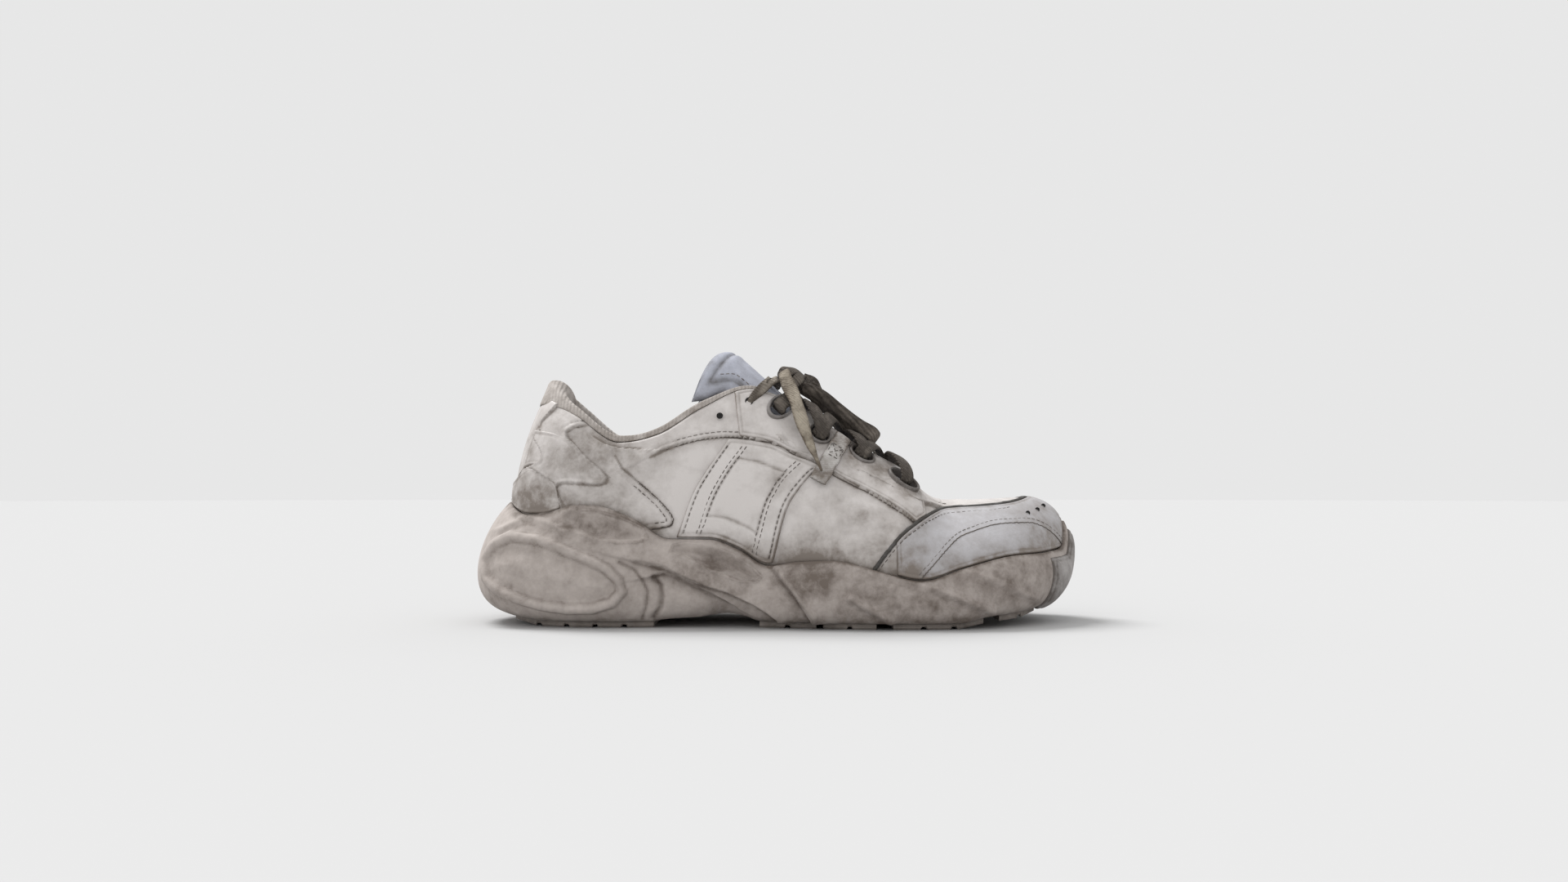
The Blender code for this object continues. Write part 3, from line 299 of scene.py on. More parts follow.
def controls():
    """The four curves round the last that the skin lies between."""
    table = np.array(LAST)
    share = table[:, 2]
    base_x = table[:, 0] * LENGTH
    base_z = bed(base_x) + GAP
    rim_z = table[:, 12] * COLLAR_HEIGHT
    low_z = base_z + table[:, 6] * (rim_z - base_z)
    high_z = base_z + table[:, 9] * (rim_z - base_z)
    curves = (
        (base_x, both_sides(LAST, 1, share), base_z),
        (table[:, 4] * LENGTH, both_sides(LAST, 5, 0.5 + 0.5 * share), low_z),
        (table[:, 7] * LENGTH, both_sides(LAST, 8), high_z),
        (table[:, 10] * LENGTH, both_sides(LAST, 11), rim_z),
    )
    return [np.stack([mirrored(x), y, mirrored(z)], axis=1) for x, y, z in curves]


CONTROLS = controls()


def bezier(points, v):
    a, b, c, d = points
    v = v[..., None]
    return (1 - v) ** 3 * a + 3 * v * (1 - v) ** 2 * b + 3 * v**2 * (1 - v) * c + v**3 * d


def at_station(curve, u):
    x, y, z = (round_curve(curve[:, k], u) for k in range(3))
    return np.stack([x, y + round_curve(MIDDLE, u), z], axis=-1)


def last_point(u, v):
    u, v = np.broadcast_arrays(np.asarray(u, float), np.asarray(v, float))
    return bezier([at_station(curve, u) for curve in CONTROLS], v)


def unit(vector):
    return vector / np.maximum(np.linalg.norm(vector, axis=-1, keepdims=True), 1e-12)


def normal_of(surface, u, v):
    """The outward normal of a surface over station and height."""
    du, dv = 0.02, 0.004
    low, high = np.clip(v - dv, 0, 1), np.clip(v + dv, 0, 1)
    along = surface(u + du, v) - surface(u - du, v)
    up = surface(u, high) - surface(u, low)
    return unit(np.cross(along, up))


def skin(u, v, out):
    """A point at a distance outside the last's skin."""
    u, v, out = np.broadcast_arrays(*(np.asarray(a, float) for a in (u, v, out)))
    normal = normal_of(last_point, u, v)
    from_toe = abs(np.mod(u, ROUND) - TOE)
    ridge = np.clip((v - 0.90) / 0.10, 0, 1) * (from_toe <= TOE - THROAT_END + 1e-6)
    ridge = (ridge**2 * (3 - 2 * ridge))[..., None]
    normal = unit(normal * (1 - ridge) + np.array([0.0, 0.0, 1.0]) * ridge)
    return last_point(u, v) + normal * out[..., None]


def height_where(test, u):
    """The share of the wall's height where the test turns from negative to positive."""
    u = np.asarray(u, float)
    low, high = np.zeros(u.shape), np.ones(u.shape)
    for _ in range(26):
        middle = 0.5 * (low + high)
        above = test(last_point(u, middle)) > 0
        high = np.where(above, middle, high)
        low = np.where(above, low, middle)
    return 0.5 * (low + high)


def line_height(line, height, u, more=0.0):
    return height_where(lambda p: p[..., 2] - outline(line, p[..., 0], height) - more, u)


def lip_height(u):
    return line_height(LIP_LINE, LIP_HEIGHT, u)


def outward(u):
    """The level direction away from the last at a station."""
    ahead = at_station(CONTROLS[0], u + 0.05) - at_station(CONTROLS[0], u - 0.05)
    return unit(np.stack([ahead[..., 1], -ahead[..., 0], 0 * ahead[..., 0]], axis=-1))


def sole_controls(u):
    table = np.array(SOLE)
    ratio = 0.5 + 0.5 * np.array(LAST)[:, 2]
    x = round_curve(mirrored(table[:, 0] * LENGTH), u)
    y = round_curve(both_sides(SOLE, 1, ratio), u) + round_curve(MIDDLE, u)
    edge = np.stack([x, y, underside(x)], axis=-1)
    low = round_curve(mirrored(table[:, 2] * LENGTH), u)[..., None]
    high = round_curve(mirrored(table[:, 3] * LENGTH), u)[..., None]
    lip = skin(u, lip_height(u), GAP + LIP)
    away = outward(u)
    upward = np.array([0.0, 0.0, 1.0])
    rise = (lip[..., 2:] - edge[..., 2:])
    above_edge = edge + away * low + upward * LOW_HANDLE * rise
    below_lip = lip + away * high - upward * HIGH_HANDLE * rise
    return edge, above_edge, below_lip, lip


def sole_point(u, v):
    u, v = np.broadcast_arrays(np.asarray(u, float), np.asarray(v, float))
    return bezier(sole_controls(u), v)


def bump(distance, width):
    return np.exp(-((distance / width) ** 2))


def relief(point):
    """How far the foam's side stands out: the ring at the heel and the two dimples."""
    x, z = point[..., 0] / LENGTH, point[..., 2] / LIP_HEIGHT
    turn = math.radians(POD_TILT)
    a = (x - POD_CENTRE[0]) * LENGTH
    b = (z - POD_CENTRE[1]) * LIP_HEIGHT
    along = a * math.cos(turn) + b * math.sin(turn)
    across = b * math.cos(turn) - a * math.sin(turn)
    ring = np.hypot(along / (POD_SIZE[0] * LENGTH), across / (POD_SIZE[1] * LIP_HEIGHT))
    out = POD_RELIEF * bump(ring - 1.0, POD_RIM)
    for mid_x, mid_z, half_x, half_z, slope in DIMPLES:
        drop = z - mid_z - slope * (x - mid_x)
        out = out - DIMPLE_DEPTH * bump(x - mid_x, half_x) * bump(drop, half_z)
    return out


def sole_skin(u, v, out):
    """A point at a distance outside the foam's side."""
    u, v, out = np.broadcast_arrays(*(np.asarray(a, float) for a in (u, v, out)))
    point = sole_point(u, v)
    fade = np.sin(np.pi * np.clip(v, 0, 1)) ** 0.5
    from_toe = abs(np.mod(u, ROUND) - TOE)
    fade = fade * np.clip(from_toe - RELIEF_END, 0, 1)
    return point + normal_of(sole_point, u, v) * (out + relief(point) * fade)[..., None]


def tongue_point(along, angle, depth):
    """A point of the tongue: along it from 0 to 1, round it by a share of its half angle."""
    table = np.array(TONGUE)
    knots = np.linspace(0, 1, len(table))
    x = smooth(knots, table[:, 0] * LENGTH, along)
    reach = TONGUE_HEIGHT - COLLAR_HEIGHT
    z = smooth(knots, table[:, 1] * COLLAR_HEIGHT + table[:, 2] * reach, along)
    radius = smooth(knots, table[:, 3] * WIDTH, along)
    half = np.radians(smooth(knots, table[:, 4], along))
    lean = np.radians(smooth(knots, table[:, 5], along))
    turn = half * angle
    arm = radius - depth
    down = np.stack([-np.sin(lean), 0 * lean, -np.cos(lean)], axis=-1)
    centre = np.stack([x, 0 * x, z], axis=-1) + down * radius[..., None]
    y = np.array([0.0, 1.0, 0.0])
    return centre + y * (arm * np.sin(turn))[..., None] - down * (arm * np.cos(turn))[..., None]


def window_place(x_share, z_share, mirror):
    """The station and height of a lace window that is seen at x and z from the side."""
    target = np.array([x_share * LENGTH, z_share * COLLAR_HEIGHT])
    u = np.linspace(5.6, 9.9, 120)[:, None]
    v = np.linspace(0.5, 1.0, 120)[None, :]
    u, v = np.broadcast_arrays(u, v)
    seen = last_point(u, v)[..., (0, 2)]
    best = np.linalg.norm(seen - target, axis=-1).argmin()
    station, height = u.ravel()[best], v.ravel()[best]
    return (ROUND - station if mirror else station), height


def frame_at(u, v):
    """The point, the outward normal and two level directions of the skin."""
    point = skin(u, v, 0.0)
    normal = unit(skin(u, v, 0.001) - point)
    along = np.array([1.0, 0.0, 0.0])
    along = unit(along - normal * along.dot(normal))
    return point, normal, along, np.cross(normal, along)


def oval(u, v, across, tall, turn, grow, height, count):
    """Points round a lace window, at a height over the skin's middle plane."""
    point, normal, along, up = frame_at(u, v)
    up = up if up[2] > 0 else -up
    turn = math.radians(turn)
    points = []
    for k in range(count):
        angle = 2 * math.pi * k / count
        a, b = (across + grow) * math.cos(angle), (tall + grow) * math.sin(angle)
        x, y = a * math.cos(turn) - b * math.sin(turn), a * math.sin(turn) + b * math.cos(turn)
        points.append(point + along * x + up * y + normal * height)
    return np.array(points)


def pad_thickness(u, share):
    """How thick the collar's padding is at a station and a share of the way up to the rim."""
    from_heel = abs(np.mod(u + TOE, ROUND) - TOE)
    heel = bump(from_heel, 1.9)
    thick = SIDE_PAD + (HEEL_PAD - SIDE_PAD) * heel
    return thick * math.sin(math.pi * (0.12 + 0.62 * share))


def crown_over(x, lift):
    """A point over the middle of the tongue at x."""
    along = np.linspace(0, 1, 200)
    middle = tongue_point(along, np.zeros(200), np.zeros(200))
    k = abs(middle[:, 0] - x).argmin()
    normal = unit(np.cross(np.array([0.0, 1.0, 0.0]), middle[min(k + 1, 199)] - middle[k - 1]))
    normal = normal if normal[2] > 0 else -normal
    return middle[k] + normal * lift, normal


def lace_frame(x_share, z_share, mirror, lift):
    """A point over the side of the upper, and the outward normal there."""
    u, v = window_place(x_share, z_share, mirror)
    point, normal, _, _ = frame_at(u, v)
    return point + normal * lift, normal


# The scene's own sizes, in metres
MM = 0.001
STITCH = 0.0019
STITCH_PITCH = 0.0027
STITCH_THICK = 0.00042
STITCH_LIFT = 0.0001
SEAM_RADIUS = 0.00030
PIPING_RADIUS = 0.0009
VENT_RADIUS = 0.0011
EDGE_SINK = 0.0003
PRESSED_IN = 0.0021
LINE_NEAR_EDGE = 0.0023
LINE_FAR_IN = 0.0105
WINDOW_CLEAR = 0.0007
WINDOW_DEPTH = 0.006
WINDOW_SINK = 0.0065
NEAR_LOOP_WIDTH = 0.0064
FAR_LOOP_WIDTH = 0.0060
TOP_LACE_WIDTH = 0.0058
EDGE_ROUND = 0.0011
FLOOR_REACH = 8.0
CAMERA_BACK = 0.640
CAMERA_HEIGHT = 0.062
CAMERA_ALONG = 0.0027

# The camera's tilt in degrees and its lens in mm, the floor's tone, how much deeper the foam's
# relief is than its solid's, and how far overlays stay apart as shares of the wall's height
CAMERA_PITCH = 2.1
FOCAL = 30.66
FLOOR_TONE = 0.54
RELIEF_SCALE = 1.35
LIP_CLEAR = 0.006
GUARD_LEAST = 0.03
FACING_LOW_MOST = 0.945

# Seams on the side of the upper, as seen from the side, in millimetres: the line, the side of it
# whose panel lies on top, and how far the row of stitches runs from it
SEAMS = {
    "collar_arc": (((-57, 76.9), (-50.8, 80.2), (-41.5, 83.4), (-32.6, 85.4), (-22.5, 86.3), (-13.6, 85.8),
                    (-3, 83.8), (6, 80.8)), 1, 2.0),
    "heel_hook": (((-73.3, 76.6), (-69.8, 71.2), (-64.4, 66.8), (-59.1, 62.4), (-52.8, 56.8), (-48.2, 51.5),
                   (-46.6, 48.6), (-47.6, 46.2), (-51.8, 45.2), (-57, 44.4)), -1, 2.2),
    "heel_point": (((-87, 92), (-92.9, 90.7), (-96.5, 88.5), (-95.8, 85.9), (-90.2, 79.9), (-84.8, 74.9),
                    (-79.4, 70.4), (-76.6, 67.6), (-77, 65.2), (-80.3, 64.1), (-88.4, 64.6), (-95.8, 65.1),
                    (-99.3, 64.6), (-100.3, 62.7), (-99.3, 59.5), (-96.2, 53.6)), -1, 2.2),
    "heel_wave": (((-110.6, 91), (-112.9, 87.7), (-112, 84.6), (-108.7, 80.7), (-107.4, 78), (-108.3, 75.2),
                   (-112.9, 72.9), (-117.6, 71.6), (-122, 67)), 1, 1.6),
    "heel_join": (((-112.5, 72.4), (-106, 68), (-100, 64.8)), 1, 1.4),
    "heel_tab": (((-97.2, 103.5), (-101.8, 101.8), (-105.5, 97.6), (-109.3, 93.7), (-110.6, 91)), -1, 0),
    "facing_low": (((-2, 88), (7, 79), (16.8, 75), (28.5, 67.6), (42, 60.9), (56.4, 52), (64.4, 46.1)), 1,
                   2.0),
    "facing_high": (((32.3, 71.4), (40.2, 68.7), (48.4, 64.6), (55.6, 60.5), (64.6, 56), (73.9, 53.8),
                     (81, 52.6)), 1, 1.8),
    "collar_front": (((-84, 86), (-78, 82.4), (-71, 80.6), (-62, 80.2)), -1, 0),
}
GUARD_ARC = ((64, 23), (69.6, 28.9), (75.2, 34.5), (82.4, 40), (90.2, 42.7), (97.5, 44.7), (107.4, 45.8),
             (116.3, 45.9), (124, 43.8), (130.6, 39.3), (136.5, 34))
PANEL_STEP = 0.0011
PANEL_FADE = 9.0

# Creases of the leather, each from one point to another as seen from the side, with its depth
CREASES = (
    ((66, 36), (74, 50), 0.8, 3.5), ((73, 33), (82, 47), 0.7, 3.2), ((58, 38), (64, 50), 0.6, 3.0),
    ((-30, 70), (2, 64), 0.5, 4.5), ((-66, 60), (-52, 74), 0.6, 4.0), ((18, 40), (40, 44), 0.5, 4.0),
    ((-6, 40), (14, 62), 0.4, 4.0), ((-90, 58), (-70, 60), 0.5, 3.5), ((-113, 64), (-110, 54), 1.0, 2.6),
    ((84, 54), (92, 44), 0.5, 3.0), ((100, 51), (118, 49), 0.4, 3.0),
)

# Clean spots, and dark smudges with painted lace shadows among them, as seen from the side: x, z, size and
# strength
CLEAN_SPOTS = ((-25, 66, 18, 0.32), (-39, 48, 14, 0.38), (-2, 50, 12, 0.28))
SMUDGE_AND_LACE_SHADOW_SPOTS = (
    # The four at x 24 to 60 along the facing under the laces are painted lace shadows.
    (-84, 78, 24, 0.72), (-107, 60, 16, 0.72), (124, 42, 14, 0.65), (24, 85, 8, 0.85), (36, 77, 9, 0.95),
    (48, 70, 9, 0.95), (60, 63, 8, 0.90), (35, 8, 26, 0.50), (85, 12, 30, 0.42), (-15, 14, 18, 0.45),
    (54, 48, 16, 0.30), (-20, 92, 16, 0.25),
    (-114, 60, 7, 0.9), (-92, 46, 8, 0.9), (-80, 41, 8, 0.8), (-98, 42, 9, 0.6), (-30, 28, 14, 0.8),
    (17, 22, 16, 0.9), (46, 38, 7, 0.55), (62, 35, 6, 0.45), (70, 12, 14, 0.7), (2, 65, 7, 0.6),
    (-14, 31, 10, 0.7),
    (36, 50, 8, 0.6), (60, 25, 10, 0.7), (-6, 50, 8, 0.35), (28, 60, 6, 0.5), (20, 30, 12, 0.5),
    (-70, 86, 6, 0.5), (100, 20, 20, 0.5), (-125, 12, 14, 0.4), (8, 90, 6, 0.3),
)


def place_of_model():
    """How far the CAD moved its pieces to centre the shoe."""
    u = np.arange(COLUMNS) / COLUMNS_PER_STATION
    rows = [sole_skin(u, share, 0.0) for share in np.linspace(0, 1, SOLE_ROWS + 1)]
    low = np.concatenate(rows).min(axis=0)
    box = np.array(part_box("midsole")[0])
    return np.array([box[0] - low[0], box[1] - low[1], 0.0])


SHIFT = place_of_model()


def fine_mesh(name, points, faces, material, attributes=None, merge=0.0):
    """A smooth mesh object in place, riding on the shoe."""
    mesh = bpy.data.meshes.new(name)
    if not isinstance(faces, list):
        faces = [tuple(face) for face in np.asarray(faces).tolist()]
    mesh.from_pydata((np.asarray(points) + SHIFT).tolist(), [], faces)
    for key, values in (attributes or {}).items():
        layer = mesh.attributes.new(key, "FLOAT", "POINT")
        layer.data.foreach_set("value", np.asarray(values, np.float32).ravel())
    if merge:
        work = bmesh.new()
        work.from_mesh(mesh)
        bmesh.ops.remove_doubles(work, verts=work.verts, dist=merge)
        work.to_mesh(mesh)
        work.free()
    mesh.shade_smooth()
    made = bpy.data.objects.new(name, mesh)
    bpy.context.scene.collection.objects.link(made)
    made.data.materials.append(material)
    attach(made, "root")
    return made


def grid_faces(rows, columns, closed=False):
    """The faces of a grid of points, row by row."""
    a = np.arange(rows - 1)[:, None]
    b = np.arange(columns if closed else columns - 1)[None, :]
    k = (b + 1) % columns
    faces = [a * columns + b, a * columns + k, (a + 1) * columns + k, (a + 1) * columns + b]
    return np.stack(np.broadcast_arrays(*faces), axis=-1).reshape(-1, 4)


def to_line(points, line):
    """The distance in millimetres of points seen from the side to a line, and which side they are on."""
    line = np.array(line, float)
    best = np.full(len(points), 1e9)
    sign = np.ones(len(points))
    for a, b in zip(line[:-1], line[1:]):
        run = b - a
        rel = points - a
        t = np.clip((rel @ run) / (run @ run), 0, 1)
        off = rel - t[:, None] * run
        far = np.hypot(off[:, 0], off[:, 1])
        side = np.sign(run[0] * rel[:, 1] - run[1] * rel[:, 0])
        closer = far < best
        best = np.where(closer, far, best)
        sign = np.where(closer, side, sign)
    return best, sign


def seen(points):
    """Points as seen from the side, in millimetres."""
    return np.stack([points[..., 0].ravel(), points[..., 2].ravel()], axis=1) / MM


def facing_side(points):
    """One where a grid of points faces sideways, and none where it turns round the heel or the toe."""
    along = np.roll(points, -1, axis=1) - np.roll(points, 1, axis=1)
    flat = np.hypot(along[..., 0], along[..., 1])
    return np.clip((abs(along[..., 0]) / np.maximum(flat, 1e-9) - 0.30) / 0.35, 0, 1)


def soft(value, width):
    return np.exp(-((value / width) ** 2))


def waves(points, size, seed, octaves=3):
    """Smooth seeded noise from sums of sines, about -1 to 1."""
    rng = np.random.default_rng(seed)
    total = np.zeros(points.shape[:-1])
    weight = 1.0
    for _ in range(octaves):
        for _ in range(5):
            direction = rng.normal(size=3)
            direction /= np.linalg.norm(direction)
            phase = rng.uniform(0, 2 * math.pi)
            total += weight * np.sin(points @ direction * (2 * math.pi / size) * rng.uniform(0.7, 1.4)
                                     + phase)
        weight *= 0.5
        size *= 0.5
    return total / 5.0


def upper_relief(points):
    """Seams, creases and slack of the upper's leather, and the painted shade each point takes in seams,
    stitch grooves and creases.
    """
    flat = seen(points)
    out = np.zeros(len(flat))
    shade_and_dirt = np.zeros(len(flat))
    for line, raised, inset in SEAMS.values():
        far, side = to_line(flat, line)
        side = far * side * raised
        ends = np.minimum(np.hypot(*(flat - line[0]).T), np.hypot(*(flat - line[-1]).T))
        hold = 1 - 0.8 * soft(ends, 3.0)
        out += PANEL_STEP * hold * np.where(side > 0, np.exp(-side / PANEL_FADE), 0.0)
        out -= 0.3 * PANEL_STEP * hold * np.where(side < 0, np.exp(side / 2.0), 0.0)
        if inset:
            out -= 0.00028 * hold * soft(side - inset, 0.6)
            # Painted shade in the stitch groove.
            shade_and_dirt = np.maximum(shade_and_dirt, 0.35 * soft(side - inset, 0.8))
        # Painted shade along the low side of the panel's step, and a wider band of painted shade beside the
        # seam.
        shade_and_dirt = np.maximum(shade_and_dirt, 0.80 * soft(side + 0.4, 0.8))
        shade_and_dirt = np.maximum(shade_and_dirt, 0.34 * soft(side, 3.0))
    for start, end, depth, width in CREASES:
        far, side = to_line(flat, (start, end))
        bend = far * side + 0.8 * np.sin(flat[:, 0] * 0.3)
        out -= depth * MM * 0.9 * soft(bend, width) * (far < 3 * width)
        out += depth * MM * 0.55 * soft(bend - 1.6 * width, width) * (far < 4 * width)
        # Painted shade in the crease, darker the deeper it is.
        shade_and_dirt = np.maximum(shade_and_dirt, 0.30 * depth * soft(bend, 0.45 * width))
    slack = waves(points.reshape(-1, 3), 0.05, 3, 2)
    out += 0.00055 * slack
    return out.reshape(points.shape[:-1]), shade_and_dirt.reshape(points.shape[:-1])


def smudges_and_lace_shadows(points, scale=0.78):
    """The dark smudges of the outer side and other ones inside, and painted lace shadows along the facing."""
    flat = seen(points)
    y = points[..., 1].ravel()
    total = np.zeros(len(flat))
    ragged = 1.0 + 0.45 * waves(points.reshape(-1, 3), 0.016, 9, 3)
    for x, z, size, strength in SMUDGE_AND_LACE_SHADOW_SPOTS:
        shift = np.where(y > 0, 9.0, 0.0)
        far = np.hypot(flat[:, 0] - x - shift, 1.3 * (flat[:, 1] - z))
        total = np.maximum(total, strength * soft(far * ragged, size))
    return (total * scale).reshape(points.shape[:-1])


def shaded_and_soiled(shade_and_dirt, points):
    """The painted shade given, with the smudges and the painted lace shadows, less where the leather stayed
    clean.
    """
    flat = seen(points)
    clean = sum(strength * soft(np.hypot(flat[:, 0] - x, flat[:, 1] - z), size)
                for x, z, size, strength in CLEAN_SPOTS)
    return np.maximum(shade_and_dirt, smudges_and_lace_shadows(points)) - clean.reshape(points.shape[:-1])


def lip_shade_and_dirt(u, v):
    """Painted shade and grime in the corner over the foam's lip, fading upward."""
    above = (v - lip_height(u)) * 0.06 / MM
    return 0.55 * np.exp(-np.maximum(above, 0) / 5.0)


def node_of(tree, kind, **values):
    made = tree.nodes.new(kind)
    for key, value in values.items():
        setattr(made, key, value)
    return made


def worn_material(name, clean, dirty_and_shaded, rough, grain, bump, streak, coat, fibre, base_dirt):
    """Dirty leather, foam or cloth: two colours mixed by noise and by a painted mask of grime and painted
    shade.
    """
    made = bpy.data.materials.new(name)
    made.use_nodes = True
    tree = made.node_tree
    shader = tree.nodes["Principled BSDF"]
    shader.inputs["Roughness"].default_value = rough
    shader.inputs["Coat Weight"].default_value = coat
    place = node_of(tree, "ShaderNodeTexCoord").outputs["Object"]
    link = tree.links.new

    def noise(scale, detail, distortion=0.0):
        made_noise = node_of(tree, "ShaderNodeTexNoise")
        made_noise.inputs["Scale"].default_value = scale
        made_noise.inputs["Detail"].default_value = detail
        made_noise.inputs["Roughness"].default_value = 0.6
        made_noise.inputs["Distortion"].default_value = distortion
        link(place, made_noise.inputs["Vector"])
        return made_noise.outputs["Fac"]

    def sums(kind, a, b, clamp=False):
        made_math = node_of(tree, "ShaderNodeMath", operation=kind, use_clamp=clamp)
        for socket, value in zip(made_math.inputs, (a, b)):
            if isinstance(value, (int, float)):
                socket.default_value = value
            else:
                link(value, socket)
        return made_math.outputs[0]

    # The painted mask: grime, together with painted shade along seams, grooves, creases, folds and edges.
    paint = node_of(tree, "ShaderNodeAttribute", attribute_name="shade_and_dirt").outputs["Fac"]
    broad = noise(28.0, 6.0, 0.4)
    fine = noise(160.0, 8.0, 0.2)
    speck = noise(620.0, 4.0)
    cloud = sums("MULTIPLY", sums("SUBTRACT", broad, 0.47), 2.6 * streak)
    mottle = sums("MULTIPLY", sums("SUBTRACT", fine, 0.48), 2.2 * streak)
    grit = sums("MULTIPLY", sums("SUBTRACT", speck, 0.5), 0.7 * streak)
    held = sums("MULTIPLY", paint, sums("ADD", 0.55, fine))
    amount = sums("ADD", sums("ADD", cloud, mottle), sums("ADD", grit, held))
    amount = sums("ADD", amount, base_dirt, clamp=True)
    ramp = node_of(tree, "ShaderNodeValToRGB")
    ramp.color_ramp.elements[0].color = (*clean, 1.0)
    ramp.color_ramp.elements[1].color = (*dirty_and_shaded, 1.0)
    middle = ramp.color_ramp.elements.new(0.45)
    middle.color = (*[0.62 * c + 0.38 * d for c, d in zip(clean, dirty_and_shaded)], 1.0)
    link(amount, ramp.inputs["Fac"])
    link(ramp.outputs["Color"], shader.inputs["Base Color"])
    pores = node_of(tree, "ShaderNodeTexVoronoi")
    pores.inputs["Scale"].default_value = grain
    link(place, pores.inputs["Vector"])
    height = sums("ADD", sums("MULTIPLY", pores.outputs["Distance"], 0.6), sums("MULTIPLY", fine, 0.8))
    if fibre:
        weave = node_of(tree, "ShaderNodeTexWave", wave_type="BANDS", bands_direction=fibre[0])
        weave.inputs["Scale"].default_value = fibre[1]
        weave.inputs["Distortion"].default_value = 1.5
        link(place, weave.inputs["Vector"])
        height = sums("ADD", height, weave.outputs["Fac"])
    relief_node = node_of(tree, "ShaderNodeBump")
    relief_node.inputs["Strength"].default_value = bump
    relief_node.inputs["Distance"].default_value = 0.0006
    link(height, relief_node.inputs["Height"])
    link(relief_node.outputs["Normal"], shader.inputs["Normal"])
    return made


# The dark end of most ramps: the colour of grime, and of the painted shade that the mask also carries.
DIRT_AND_SHADE = (0.19, 0.16, 0.137)

# Each look's material: name, clean colour and the dark colour that grime and painted shade take it to,
# roughness, grain, bump, streaks, coat, weave and the dirt that lies all over it
LOOKS = {
    "leather": ("worn_leather", (0.6, 0.565, 0.545), DIRT_AND_SHADE, 0.52, 1400, 0.1, 0.4, 0.05, None, 0.08),
    "overlay": ("worn_overlay", (0.61, 0.575, 0.555), DIRT_AND_SHADE, 0.5, 1500, 0.1, 0.42, 0.05, None, 0.08),
    "guard": ("toe_leather", (0.46, 0.45, 0.465), DIRT_AND_SHADE, 0.5, 1300, 0.14, 0.45, 0.05, None, 0.08),
    "foam": ("dirty_foam", (0.45, 0.402, 0.372), (0.135, 0.108, 0.09), 0.78, 700, 0.12, 0.48, 0.0, None, 0.1),
    "rubber": ("outsole_rubber", (0.34, 0.3, 0.27), (0.11, 0.092, 0.08),
        0.85, 600, 0.25, 0.5, 0.0, None, 0.3),
    "insole": ("footbed_cloth", (0.52, 0.53, 0.57), (0.24, 0.23, 0.22),
        0.95, 900, 0.3, 0.6, 0.0, ("X", 260.0), 0.3),
    "knit": ("collar_knit", (0.56, 0.52, 0.49), DIRT_AND_SHADE, 0.92, 900, 0.45, 0.5, 0.0, ("X", 190.0), 0.22),
    "tongue": ("tongue_cloth", (0.5, 0.52, 0.6), (0.15, 0.145, 0.15), 0.85, 1500, 0.25, 0.35, 0.0, None, 0.1),
    "ring": ("ring_plastic", (0.36, 0.34, 0.33), (0.1, 0.085, 0.075), 0.5, 900, 0.1, 0.6, 0.0, None, 0.3),
    "webbing": ("tab_webbing", (0.62, 0.6, 0.58), DIRT_AND_SHADE, 0.85, 900, 0.5, 0.6, 0.0, ("Z", 330.0), 0.18),
    "lace": ("lace_braid", (0.2, 0.172, 0.145), (0.06, 0.049, 0.04),
        0.95, 900, 0.7, 0.8, 0.0, ("DIAGONAL", 300.0), 0.3),
    "lace_end": ("lace_end_braid", (0.52, 0.46, 0.37), (0.12, 0.095, 0.07),
        0.95, 900, 0.7, 0.6, 0.0, ("DIAGONAL", 300.0), 0.3),
    "lace_pale": ("lace_worn_braid", (0.36, 0.32, 0.27), (0.09, 0.073, 0.058),
        0.95, 900, 0.7, 0.7, 0.0, ("DIAGONAL", 300.0), 0.3),
    "thread": ("stitch_thread", (0.34, 0.315, 0.295), (0.09, 0.075, 0.065),
        0.8, 900, 0.2, 0.8, 0.0, None, 0.3),
    # A near-black colour for the thin tubes of painted shadow along the seams.
    "gap": ("seam_shade", (0.2, 0.175, 0.155), (0.07, 0.058, 0.05), 0.9, 900, 0.1, 0.5, 0.0, None, 0.3),
    # Near-black painted shade for the punched holes.
    "dark": ("hole_shade", (0.03, 0.028, 0.026), (0.012, 0.011, 0.01), 0.9, 900, 0.1, 0.4, 0.0, None, 0.3),
    "bumper": ("bumper_rubber", (0.36, 0.34, 0.33), (0.11, 0.095, 0.085),
        0.75, 800, 0.2, 0.7, 0.0, None, 0.3),
    "piping": ("dark_piping", (0.17, 0.165, 0.165), (0.05, 0.045, 0.04), 0.8, 900, 0.2, 0.6, 0.0, None, 0.3),
}
LOOK = {key: worn_material(*row) for key, row in LOOKS.items()}


